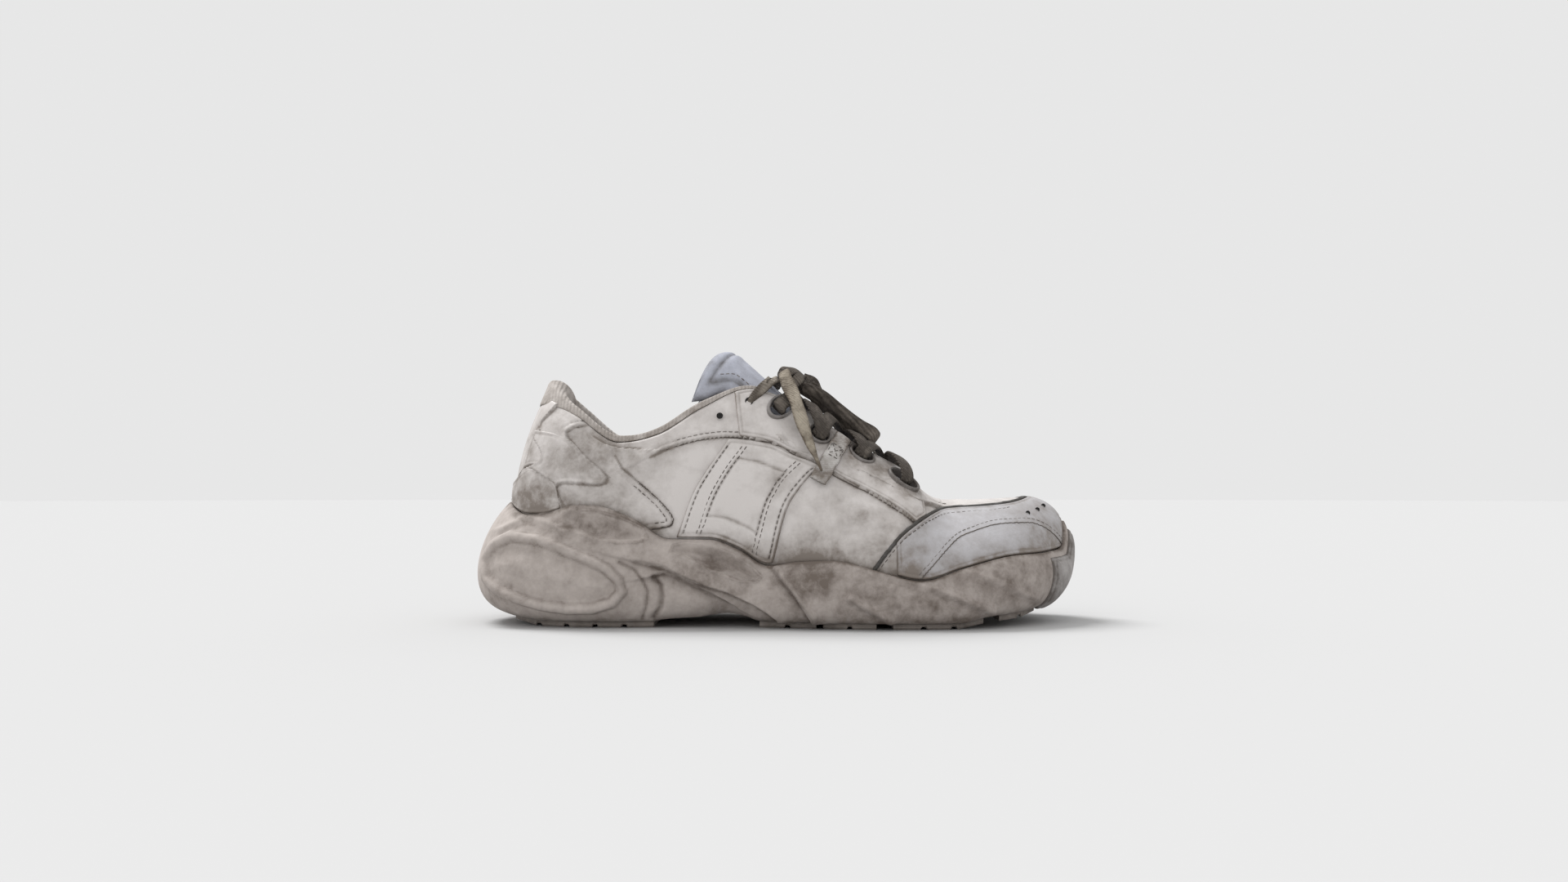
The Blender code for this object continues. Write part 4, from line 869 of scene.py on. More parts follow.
def fine_upper():
    """The upper's outer and inner skins, with seams, creases and open windows."""
    per_station, rows, lining_rows = 34, 100, 12
    columns = ROUND * per_station
    u = np.arange(columns) / per_station
    v = np.linspace(0.02, 1, rows)
    base = skin(u[None, :], v[:, None], 0.0)
    out, shade_and_dirt = upper_relief(base)
    sideways = facing_side(base)
    sideways = np.where(base[..., 0] < 0, sideways, 1.0)
    out, shade_and_dirt = out * sideways, shade_and_dirt * (0.35 + 0.65 * sideways)
    fade = np.clip((1.0 - v) / 0.02, 0, 1)[:, None]
    outer = skin(u[None, :], v[:, None], out * fade)
    paint = shaded_and_soiled(shade_and_dirt, base) + lip_shade_and_dirt(np.broadcast_to(u, base.shape[:2]), v[:, None])
    inner_v = np.linspace(0.02, 1, lining_rows)
    inner = skin(u[None, :], inner_v[:, None], -WALL)
    points = np.concatenate([outer.reshape(-1, 3), inner.reshape(-1, 3)])
    faces_out = grid_faces(rows, columns, True)
    faces_in = grid_faces(lining_rows, columns, True)[:, ::-1] + rows * columns
    j = np.arange(columns)
    k = (j + 1) % columns
    top, inner_top = (rows - 1) * columns, (rows + lining_rows - 1) * columns
    from_heel = abs(np.mod(u + TOE, ROUND) - TOE)
    open_rim = np.maximum(from_heel[j], from_heel[k]) <= THROAT_END + 1e-6
    rim = np.stack([top + j, top + k, inner_top + k, inner_top + j], axis=1)[open_rim]
    faces = np.concatenate([faces_out, faces_in, rim])
    middle = points[faces].mean(axis=1)
    keep = np.ones(len(faces), bool)
    for mirror in (False, True):
        for _, x, z, across, tall, turn in WINDOWS:
            keep &= ~inside_window(middle, x, z, across, tall, turn, mirror)
    attribute = np.concatenate([paint.ravel(), np.full(inner.shape[0] * columns, 0.35)])
    made = fine_mesh("upper_skin", points, faces[keep], LOOK["leather"], {"shade_and_dirt": attribute}, merge=1e-6)
    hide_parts("upper")
    return made


def inside_window(points, x, z, across, tall, turn, mirror):
    """Which points lie in a lace window, through the wall."""
    u, v = window_place(x, z, mirror)
    centre, normal, along, up = frame_at(u, v)
    up = up if up[2] > 0 else -up
    rel = points - centre
    a, b, depth = rel @ along, rel @ up, rel @ normal
    turn = math.radians(turn)
    p, q = a * math.cos(turn) + b * math.sin(turn), b * math.cos(turn) - a * math.sin(turn)
    inside = (p / (across + WINDOW_CLEAR)) ** 2 + (q / (tall + WINDOW_CLEAR)) ** 2 < 1
    return inside & (abs(depth) < WINDOW_DEPTH)


def fine_patch(name, node, u, low, high, look, thick=OVERLAY, rows=44, surface=skin, windows_on=None,
               round_to=EDGE_ROUND):
    """An overlay with a rounded edge, a pressed line inside it and painted shade along both."""
    share = np.linspace(0, 1, rows)
    share = 0.5 - 0.5 * np.cos(math.pi * share) * (0.35 + 0.65 * abs(np.cos(math.pi * share)))
    v = low[:, None] + (high - low)[:, None] * share[None, :]
    base = surface(u[:, None], v, 0.0)
    across = np.linalg.norm(np.diff(base, axis=1), axis=2)
    along_v = np.concatenate([np.zeros((len(u), 1)), np.cumsum(across, axis=1)], axis=1)
    to_edge = np.minimum(along_v, along_v[:, -1:] - along_v)
    run = np.linalg.norm(np.diff(base[:, rows // 2], axis=0), axis=1)
    along_u = np.concatenate([[0], np.cumsum(run)])
    to_end = np.minimum(along_u, along_u[-1] - along_u)[:, None]
    edge = np.minimum(to_edge, to_end)
    part = np.clip(edge / round_to, 0, 1)
    rise = np.sqrt(np.maximum(1 - (1 - part) ** 2, 0))
    out = -EDGE_SINK + (SEAT + thick + EDGE_SINK) * rise
    out = out - 0.00022 * soft(edge - PRESSED_IN, 0.00045)
    out = out + 0.00022 * waves(base, 0.03, 5, 2)
    points = surface(u[:, None], v, out)
    # Painted shade along the overlay's edge and in its pressed line.
    shade_and_dirt = 0.6 * soft(edge, 0.0007) + 0.3 * soft(edge - PRESSED_IN, 0.0005) + 0.2 * soft(edge, 0.004)
    shade_and_dirt = shaded_and_soiled(shade_and_dirt, base)
    if surface is skin:
        shade_and_dirt = shade_and_dirt + lip_shade_and_dirt(np.broadcast_to(u[:, None], v.shape), v)
    faces = grid_faces(len(u), rows)
    middle = points.reshape(-1, 3)[faces].mean(axis=1)
    keep = np.ones(len(faces), bool)
    for mirror in (False, True):
        for _, x, z, w, t, turn in WINDOWS if windows_on else ():
            keep &= ~inside_window(middle, x, z, w, t, turn, mirror)
    made = fine_mesh(name, points.reshape(-1, 3), faces[keep], LOOK[look], {"shade_and_dirt": shade_and_dirt.ravel()})
    if node:
        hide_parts(node)
    return made


def spread_u(start, end, per_station=26):
    return np.linspace(start, end, max(8, int((end - start) * per_station)))


def fine_overlays():
    """Every overlay of the upper, on the outer and the inner side."""
    u = spread_u(GUARD_START, ROUND - GUARD_START, 30)
    low = lip_height(u) + LIP_CLEAR
    high = np.maximum(np.minimum(line_height(GUARD_LINE, GUARD_TOP, u), GUARD_MOST), low + GUARD_LEAST)
    fine_patch("toe_guard_skin", "toe_guard", u, low, high, "guard", rows=60)
    for side, mirror in (("outer", False), ("inner", True)):
        u = spread_u(*FACING_SPAN, 60)
        u = ROUND - u[::-1] if mirror else u
        low = np.maximum(line_height(FACING_LINE, COLLAR_HEIGHT, u),
                         line_height(GUARD_LINE, GUARD_TOP, u) + FACING_CLEAR)
        low = np.minimum(low, FACING_LOW_MOST)
        high = np.full(len(u), FACING_TOP)
        fine_patch(f"facing_{side}", f"eyestay_{side}", u, low, high, "overlay", rows=70,
                   windows_on=True)
        u = spread_u(*BAND_SPAN, 60)
        u = ROUND - u[::-1] if mirror else u
        low = np.maximum(line_height(COUNTER_LINE, COLLAR_HEIGHT, u),
                         line_height(POINT_LINE, COLLAR_HEIGHT, u)) + EDGE_CLEAR
        high = np.maximum(line_height(BAND_LINE, COLLAR_HEIGHT, u), low + LEAST_HEIGHT)
        fine_patch(f"heel_band_{side}", f"heel_overlay_{side}", u, low, high, "overlay", rows=36)
        fine_saddle(side, mirror)
    u = spread_u(*COUNTER_SPAN, 40)
    low = lip_height(u) + LIP_CLEAR
    high = np.maximum(line_height(COUNTER_LINE, COLLAR_HEIGHT, u), low + LEAST_HEIGHT)
    fine_patch("heel_cup", "heel_counter", u, low, high, "overlay", rows=36)


def saddle_grid(mirror, across, tall):
    """Stations and heights of the broad band between sole and facing."""
    v_share = np.linspace(0, 1, tall)
    knots = np.linspace(0, 1, 3)
    start = smooth(knots, np.array(SADDLE_BACK)[:, 1], v_share)
    end = smooth(knots, np.array(SADDLE_FRONT)[:, 1], v_share)
    stations = np.array(LAST)[:TOE, 4]
    a, b = np.interp(start, stations, np.arange(TOE)), np.interp(end, stations, np.arange(TOE))
    share = np.linspace(0, 1, across)
    u = a[None, :] + (b - a)[None, :] * share[:, None]
    u = ROUND - u if mirror else u
    low = lip_height(u) + LIP_CLEAR
    high = line_height(FACING_LINE, COLLAR_HEIGHT, u) - 0.010
    return u, low + (high - low) * v_share[None, :]


def fine_saddle(side, mirror):
    """The broad plain band, with a rounded edge and two pressed lines along each side."""
    u, v = saddle_grid(mirror, 90, 70)
    base = skin(u, v, 0.0)
    run = np.cumsum(np.linalg.norm(np.diff(base, axis=0), axis=2), axis=0)
    run = np.concatenate([np.zeros((1, base.shape[1])), run])
    edge = np.minimum(run, run[-1:] - run)
    tall = np.concatenate([np.zeros((base.shape[0], 1)),
                           np.cumsum(np.linalg.norm(np.diff(base, axis=1), axis=2), axis=1)], axis=1)
    edge = np.minimum(edge, np.minimum(tall, tall[:, -1:] - tall))
    part = np.clip(edge / EDGE_ROUND, 0, 1)
    rise = np.sqrt(np.maximum(1 - (1 - part) ** 2, 0))
    out = -EDGE_SINK + (SEAT + OVERLAY + EDGE_SINK) * rise
    out -= 0.00035 * soft(edge - LINE_NEAR_EDGE, 0.0005) + 0.00045 * soft(edge - LINE_FAR_IN, 0.0007)
    out += 0.00030 * waves(base, 0.035, 6, 2)
    points = skin(u, v, out)
    # Painted shade along the band's edge and in its two pressed lines.
    shade_and_dirt = (0.9 * soft(edge, 0.001) + 0.5 * soft(edge - LINE_NEAR_EDGE, 0.0006)
            + 0.6 * soft(edge - LINE_FAR_IN, 0.0008))
    shade_and_dirt = shaded_and_soiled(shade_and_dirt, base) + lip_shade_and_dirt(u, v)
    faces = grid_faces(*u.shape)
    faces = faces[:, ::-1] if mirror else faces
    made = fine_mesh(f"saddle_{side}_skin", points.reshape(-1, 3), faces, LOOK["overlay"],
                     {"shade_and_dirt": shade_and_dirt.ravel()})
    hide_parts(f"saddle_{side}")
    for index, inset in enumerate((LINE_NEAR_EDGE, 0.0086, LINE_FAR_IN)):
        for front in (False, True):
            path = []
            for row in range(3, u.shape[1] - 2, 1):
                line = run[:, row]
                at = inset if not front else line[-1] - inset
                k = int(np.argmin(abs(line - at)))
                path.append(skin(u[k, row], v[k, row], SEAT + OVERLAY + STITCH_LIFT))
            stitches(f"saddle_{side}_stitch_{index}_{int(front)}", np.array(path))


def stitches(name, path):
    """A row of stitches along a path of points on the surface."""
    step = np.linalg.norm(np.diff(path, axis=0), axis=1)
    far = np.concatenate([[0], np.cumsum(step)])
    if far[-1] < 2 * STITCH_PITCH:
        return None
    count = int(far[-1] / STITCH_PITCH)
    points, faces = [], []
    for k in range(count):
        centre = (k + 0.5) * STITCH_PITCH
        ends = np.array([[np.interp(centre + d * STITCH / 2, far, path[:, i]) for i in range(3)]
                         for d in (-1, 1)])
        ahead = unit(ends[1] - ends[0])
        away = np.array([0.0, ends[:, 1].mean(), 0.0])
        away = unit(away - ahead * away.dot(ahead) + 1e-9)
        side = np.cross(ahead, away)
        start = len(points)
        for along, size in ((0.0, 0.35), (0.18, 1.0), (0.82, 1.0), (1.0, 0.35)):
            middle = ends[0] + (ends[1] - ends[0]) * along
            for turn in range(6):
                angle = turn * math.pi / 3
                ring = side * math.cos(angle) + away * (math.sin(angle) * 0.75 - 0.15)
                points.append(middle + ring * 0.5 * STITCH_THICK * size)
        for band in range(3):
            for turn in range(6):
                a = start + band * 6 + turn
                b = start + band * 6 + (turn + 1) % 6
                faces.append((a, b, b + 6, a + 6))
        faces.append(tuple(start + t for t in range(5, -1, -1)))
        faces.append(tuple(start + 18 + t for t in range(6)))
    made = fine_mesh(name, np.array(points), faces, LOOK["thread"], {"shade_and_dirt": np.full(len(points), 0.4)})
    return made


SIDE_U = np.linspace(0.2, 12.9, 260)
SIDE_V = np.linspace(0.02, 1.0, 130)


def side_points():
    u, v = np.broadcast_arrays(SIDE_U[:, None], SIDE_V[None, :])
    base = last_point(u, v)
    return u.ravel(), v.ravel(), base[..., (0, 2)].reshape(-1, 2) / MM


SIDE = side_points()


def on_side(line, mirror, lift, step=1.2):
    """Points on the side of the upper along a line seen from the side, in millimetres."""
    line = np.array(line, float)
    far = np.concatenate([[0], np.cumsum(np.hypot(*np.diff(line, axis=0).T))])
    at = np.arange(0, far[-1], step)
    path = np.stack([smooth(far, line[:, i], at) for i in range(2)], axis=1)
    u_all, v_all, flat = SIDE
    u, v = [], []
    for place in path:
        distance = np.hypot(flat[:, 0] - place[0], flat[:, 1] - place[1])
        near = np.argsort(distance)[:4]
        weight = 1 / (distance[near] + 0.05) ** 2
        u.append((u_all[near] * weight).sum() / weight.sum())
        v.append((v_all[near] * weight).sum() / weight.sum())
    u, v = np.array(u), np.array(v)
    return skin(ROUND - u if mirror else u, v, lift)


def offset_line(line, by):
    """A side line moved sideways by some millimetres."""
    line = np.array(line, float)
    ahead = np.gradient(line, axis=0)
    ahead /= np.maximum(np.hypot(*ahead.T)[:, None], 1e-9)
    return line + np.stack([-ahead[:, 1], ahead[:, 0]], axis=1) * by


def seam_stitches():
    """A thin dark tube of painted shadow along each panel's edge, and the stitches beside it."""
    for mirror in (False, True):
        for label, (line, raised, inset) in SEAMS.items():
            # Each seam's dark tube is a line of painted shadow.
            tube(f"seam_{label}_{int(mirror)}",
                 on_side(offset_line(line, -0.35 * raised), mirror, -STITCH_LIFT, 0.8), SEAM_RADIUS,
                 "gap", 6)
            if inset:
                stitches(f"stitch_{label}_{int(mirror)}",
                         on_side(offset_line(line, inset * raised), mirror, 0.0008))
        tube(f"seam_guard_arc_{int(mirror)}", on_side(GUARD_ARC, mirror, SEAT + OVERLAY, 0.8),
             0.00028, "gap", 6)
        stitches(f"stitch_guard_arc_{int(mirror)}",
                 on_side(offset_line(GUARD_ARC, 1.8), mirror, SEAT + OVERLAY))
    top = [(x * LENGTH / MM, z * GUARD_TOP / MM - 2.4) for x, z in GUARD_LINE[:-1]]
    for mirror in (False, True):
        stitches(f"guard_stitch_{int(mirror)}", on_side(top, mirror, SEAT + OVERLAY))


def tube(name, path, radius, look, sides=8, flat=1.0):
    """A thin round tube along a path of points."""
    ahead = unit(np.gradient(path, axis=0))
    up = np.array([0.0, 0.0, 1.0])
    side = unit(np.cross(ahead, up))
    top = np.cross(side, ahead)
    turn = np.linspace(0, 2 * math.pi, sides, endpoint=False)
    rings = path[:, None] + radius * (side[:, None] * np.cos(turn)[None, :, None] + flat * top[:, None]
                                      * np.sin(turn)[None, :, None])
    made = fine_mesh(name, rings.reshape(-1, 3), grid_faces(len(path), sides, True), LOOK[look],
                     {"shade_and_dirt": np.full(len(path) * sides, 0.4)})
    return made


def piping():
    """The dark cord along the top of the toe guard."""
    line = [(x * LENGTH / MM, z * GUARD_TOP / MM + 0.6) for x, z in GUARD_LINE]
    for mirror in (False, True):
        path = on_side(line, mirror, 0.0006, 1.0)
        tube(f"guard_piping_{int(mirror)}", path, PIPING_RADIUS, "piping")
    for k, (x, z) in enumerate(((116.8, 49.9), (122.4, 51.4), (126.4, 53.1))):
        for mirror in (False, True):
            place = on_side([(x, z), (x + 1.3, z)], mirror, SEAT + OVERLAY + STITCH_LIFT)[:1]
            hole(f"vent_{k}_{int(mirror)}", place[0], VENT_RADIUS)


def hole(name, place, radius):
    """A small punched hole, as a shallow dish in the surface, near-black with painted shade."""
    away = unit(np.array([0.0, place[1], 0.25 * abs(place[1])]))
    along = unit(np.cross(away, np.array([0.0, 0.0, 1.0])))
    up = np.cross(along, away)
    turn = np.linspace(0, 2 * math.pi, 16, endpoint=False)
    points = [place - away * 0.0004]
    for share, depth in ((0.6, 0.0003), (1.0, 0.0)):
        for angle in turn:
            points.append(place + radius * share * (along * math.cos(angle) + up * math.sin(angle)) - away
                          * (depth - 0.0002))
    faces = [(0, 1 + k, 1 + (k + 1) % 16) for k in range(16)]
    faces += [(1 + k, 17 + k, 17 + (k + 1) % 16, 1 + (k + 1) % 16) for k in range(16)]
    made = fine_mesh(name, np.array(points), faces, LOOK["dark"], {"shade_and_dirt": np.ones(len(points))})
    return made


def in_polygon(flat, polygon):
    """Whether each point seen from the side lies inside a closed outline."""
    polygon = np.array(polygon, float)
    inside = np.zeros(len(flat), bool)
    for a, b in zip(polygon, np.roll(polygon, -1, axis=0)):
        crosses = (a[1] > flat[:, 1]) != (b[1] > flat[:, 1])
        at = a[0] + (flat[:, 1] - a[1]) * (b[0] - a[0]) / (b[1] - a[1] + 1e-12)
        inside ^= crosses & (flat[:, 0] < at)
    return inside


# Forms moulded in the foam's side, as seen from the side, in millimetres
RING_LINE = (
    (-135.5, 29.8), (-130, 37), (-120.9, 41.0), (-106.3, 39.5), (-95.5, 35.6), (-84.9, 31.5), (-75.4, 27),
    (-69.9, 21.8), (-68.7, 16.8), (-72.9, 12), (-82.2, 9.2), (-92.7, 9), (-103.4, 10.3), (-114.4, 13),
    (-124.2, 16.3), (-132.6, 21.6), (-135.5, 29.8),
)
HOLLOW_BACK = (
    (-96, 52), (-95.1, 47), (-89.9, 42.8), (-80.6, 39.8), (-71.1, 38.2), (-62, 38.4), (-57.5, 40),
    (-60, 45), (-68, 49), (-80, 52.5), (-90, 53.5),
)
HOLLOW_ARCH = (
    (-46, 37), (-40, 38.3), (-30, 37.2), (-20, 33.4), (-11, 27.6), (-6.5, 23.2), (-9, 20.8), (-16, 21.4),
    (-28, 26), (-40, 31.2), (-47, 34),
)
STEPS = (
    (((-62.8, 30.1), (-56.2, 28.5), (-50.1, 27.1), (-42.5, 23.4), (-32.3, 19.5), (-22.1, 16.8),
      (-11.9, 12.1), (-4.2, 7.5), (0, 4.4)), 1.5, 9.0),
    (((-54.2, 23.9), (-50.1, 24.9), (-45, 23.4), (-37.4, 19.8), (-29.7, 16.2), (-22.1, 12.1), (-17.9, 9.6)),
     1.3, 6.0),
    (((-2.7, 28.6), (1, 23.1), (8.7, 14.4), (15.3, 4.2)), 1.4, 7.0),
)
RIDGES = (
    (((-125.7, 56.5), (-118, 52), (-112.2, 50), (-101.1, 46.4), (-93.9, 42.5)), 1.2, 1.5),
    (((-132, 43.2), (-124.4, 44.7), (-116.5, 48.5), (-112.2, 49.9)), 1.0, 1.3),
    (((1, 27.6), (6.1, 19.9), (17.2, 6.8)), 1.0, 1.3),
    (((32.6, 14.4), (38.1, 11.1), (45.6, 7.5), (50.7, 3.9)), 1.3, 1.6),
    (((43.4, 26.8), (58.6, 22.3), (68.7, 18.7), (81.9, 13.8), (96.4, 8.4)), 1.3, 1.7),
    (((84, 26), (96, 22), (108, 17), (118, 13)), 0.8, 1.6),
)
GROOVES = (
    (((-69.8, 30), (-63.3, 27), (-59.3, 21.9), (-57.1, 16.8), (-58, 9), (-60, 4)), 0.9, 0.9),
    (((-54.2, 23.4), (-51.2, 19.4), (-50.6, 14.3), (-51.6, 9.2), (-54.7, 4.4)), 1.8, 1.2),
)


def foam_relief(points):
    """The moulded ring, hollows, steps, ridges and wear of the foam's side, and the painted shade in its
    grooves and hollows and under its steps and ridges.
    """
    flat = seen(points)
    out = np.zeros(len(flat))
    shade_and_dirt = 0.10 * np.ones(len(flat))
    far, _ = to_line(flat, RING_LINE)
    inside = in_polygon(flat, RING_LINE)
    out += 2.2 * np.exp(-((far / 2.1) ** 4))
    out -= 0.8 * inside * (1 - soft(far, 2.0))
    out += 1.2 * inside * np.clip(far / 12.0, 0, 1) ** 2
    # Painted shade at the foot of the ring.
    shade_and_dirt = np.maximum(shade_and_dirt, 0.42 * soft(far - 2.4, 0.7))
    for polygon, depth, run in ((HOLLOW_BACK, 3.0, 5.0), (HOLLOW_ARCH, 3.8, 4.5)):
        closed = list(polygon) + [polygon[0]]
        far, _ = to_line(flat, closed)
        deep = in_polygon(flat, polygon) * np.clip(far / run, 0, 1)
        out -= depth * np.sin(0.5 * math.pi * deep) ** 1.2
        out += 0.5 * soft(far, 1.0)
        # Painted shade in the hollow and round its edge.
        shade_and_dirt = np.maximum(shade_and_dirt, 0.40 * deep)
        shade_and_dirt = np.maximum(shade_and_dirt, 0.42 * soft(far - 0.4, 0.6))
    for line, depth, run in STEPS:
        far, side = to_line(flat, line)
        below = far * side
        out += 1.4 * depth * np.where(below > 0, np.exp(-below / run), 0.0) * np.clip(below / 0.9, 0, 1)
        out -= 0.8 * depth * np.where(below < 0, np.exp(below / (0.7 * run)), 0.0)
        # Painted shade below the step.
        shade_and_dirt = np.maximum(shade_and_dirt, 0.35 * soft(below + 0.6, 0.8) + 0.22 * (below < 0)
                          * np.exp(np.minimum(below, 0) / run))
    for line, height, width in RIDGES:
        far, side = to_line(flat, line)
        out += 1.3 * height * soft(far, width)
        # Painted shade below the ridge.
        shade_and_dirt = np.maximum(shade_and_dirt, 0.35 * soft(far * side + 2.0 * width, 0.8 * width))
    for line, depth, width in GROOVES:
        far, _ = to_line(flat, line)
        out -= depth * soft(far, width)
        # Painted shade in the groove.
        shade_and_dirt = np.maximum(shade_and_dirt, 0.55 * soft(far, 0.9 * width))
    far = np.hypot(flat[:, 0] + 34, flat[:, 1] - 12)
    out += 1.3 * soft(far, 6.0)
    # Darker towards the front and towards the bottom.
    shade_and_dirt = np.maximum(shade_and_dirt, 0.30 * np.clip((flat[:, 0] + 30) / 60, 0, 1))
    shade_and_dirt = shade_and_dirt + 0.45 * np.clip(1 - flat[:, 1] / 9.0, 0, 1)
    out += 0.18 * waves(points.reshape(-1, 3), 0.02, 8, 3)
    return out.reshape(points.shape[:-1]) * MM, shade_and_dirt.reshape(points.shape[:-1])


def foam_at(u, v, out):
    """A point over the foam's side, as the fine foam has it at the toe."""
    u, v, out = np.broadcast_arrays(*(np.asarray(a, float) for a in (u, v, out)))
    return sole_point(u, v) + normal_of(sole_point, u, v) * out[..., None]


def fine_midsole():
    """The foam cup with its moulded side, its lip, inner wall, bed and underside."""
    per_station, side_rows = 34, 98
    columns = ROUND * per_station
    u = np.arange(columns) / per_station
    share = np.linspace(0, 1, side_rows)[:, None]
    base = sole_point(*np.broadcast_arrays(u[None, :], share))
    out, shade_and_dirt = foam_relief(base)
    sideways = facing_side(base)
    out, shade_and_dirt = RELIEF_SCALE * out * sideways, shade_and_dirt * (0.35 + 0.65 * sideways)
    from_toe = abs(np.mod(u, ROUND) - TOE)
    fade = np.clip(np.sin(np.pi * share), 0, 1) ** 0.5 * np.clip(1.6 * (from_toe - 1.1), 0.12, 1)[None, :]
    side = base + normal_of(sole_point, *np.broadcast_arrays(u[None, :], share)) * (out * fade)[..., None]
    paint = shaded_and_soiled(shade_and_dirt, base)
    # Painted shade along the top of the foam's side, under the upper.
    paint += 0.45 * soft(1 - share, 0.035)
    lip = lip_height(u)
    inner = np.array([skin(u, lip * part, GAP) for part in (1.0, 0.66, 0.33, 0.0)])
    inner[-1][:, 2] = bed(inner[-1][:, 0])
    rings = np.concatenate([side, inner])
    count = len(rings)
    faces = grid_faces(count, columns, True).tolist()
    for ring, flip in ((0, True), (count - 1, False)):
        for j in range(columns // 2 - 1):
            a, b = ring * columns + j, ring * columns + j + 1
            c, d = ring * columns + columns - j - 2, ring * columns + columns - j - 1
            face = (a, b, c, d) if len({a, b, c, d}) == 4 else (a, b, c)
            faces.append(face[::-1] if flip else face)
    values = np.concatenate([paint.ravel(), np.full(4 * columns, 0.5)])
    made = fine_mesh("midsole_skin", rings.reshape(-1, 3), faces, LOOK["foam"], {"shade_and_dirt": values})
    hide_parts("midsole")
    return made


def fine_bumper():
    """The rubber over the toe, thinning out to its edge."""
    u = spread_u(BUMPER_START, ROUND - BUMPER_START, 60)
    low, high = (np.full(len(u), height) for height in BUMPER_SPAN)
    fine_patch("toe_bumper_skin", "toe_bumper", u, low, high, "bumper",
               thick=BUMPER - SEAT, rows=60, surface=foam_at, round_to=0.009)


def fine_collar():
    """The padding inside the ankle opening and the knitted roll over the edge."""
    stations = np.linspace(-6.3, 6.3, 170)
    inside = -WALL - GAP
    rings = []
    for u in stations:
        back = [skin(u, v, inside) for v in (0.60, 0.80, 0.93, 1.0)]
        rim = skin(u, 1.0, 0.0)
        up = unit(unit(rim - skin(u, 0.985, 0.0)) * 0.5 + np.array([0.0, 0.0, 0.5]))
        away = unit(skin(u, 1.0, 0.001) - rim)
        heel = float(bump(abs(u), 1.3))
        taper = float(np.clip((6.35 - abs(u)) / 1.3, 0, 1)) ** 0.7
        width = (WALL + GAP + float(pad_thickness(u, 1.0))) * (0.45 + 0.55 * taper) + 0.0062 * heel
        roll = ROLL * (0.30 + 0.70 * taper) + 0.0050 * heel
        lip = 1.0 - 0.10 * heel
        over = [rim + up * GAP * 1.5, skin(u, lip, 0.0004), skin(u, lip + 0.004, 0.0004 + 0.0010 * heel)]
        for angle in np.linspace(12, 168, 13):
            turn = math.radians(angle)
            out = 0.0004 * math.sin(turn) * math.sin(3.1 * u)
            over.append(rim + away * (0.5 * width * (math.cos(turn) - 1.0)
                                      + 0.0007 * math.sin(turn) * (angle < 60)
                                      + 0.0034 * heel * math.sin(turn) ** 0.5 * (1 - angle / 180))
                        + up * (GAP * 1.5 + (roll - GAP) * math.sin(turn) + out))
        front = [skin(u, v, inside - float(pad_thickness(u, share)) * (0.25 + 0.75 * taper))
                 for share, v in ((0.95, 0.95), (0.9, 0.92), (0.8, 0.88), (0.7, 0.84), (0.45, 0.75),
                                  (0.1, 0.65))]
        rings.append(np.array(back + over + front))
    rings = np.array(rings)
    count, size = rings.shape[:2]
    at_heel = bump(stations, 1.0)[1:-1, None, None]
    for _ in range(40):
        middle = 0.5 * (rings[:-2, 4:20] + rings[2:, 4:20])
        rings[1:-1, 4:20] += 0.5 * at_heel * (middle - rings[1:-1, 4:20])
    faces = [list(f) for f in grid_faces(count, size, True)[:, ::-1].tolist()]
    faces.append(list(range(size)))
    faces.append([(count - 1) * size + j for j in range(size)][::-1])
    shade_and_dirt = np.full((count, size), 0.35)
    # Painted light on the outer top of the roll, and painted shade on the padding inside.
    shade_and_dirt[:, 7:14] = 0.15
    shade_and_dirt[:, 20:] = 0.6
    made = fine_mesh("collar_roll", rings.reshape(-1, 3), faces, LOOK["knit"], {"shade_and_dirt": shade_and_dirt})
    smoother(made, 1)
    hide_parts("collar")


def smoother(piece, levels):
    modifier = piece.modifiers.new("smooth", "SUBSURF")
    modifier.levels = levels
    modifier.render_levels = levels


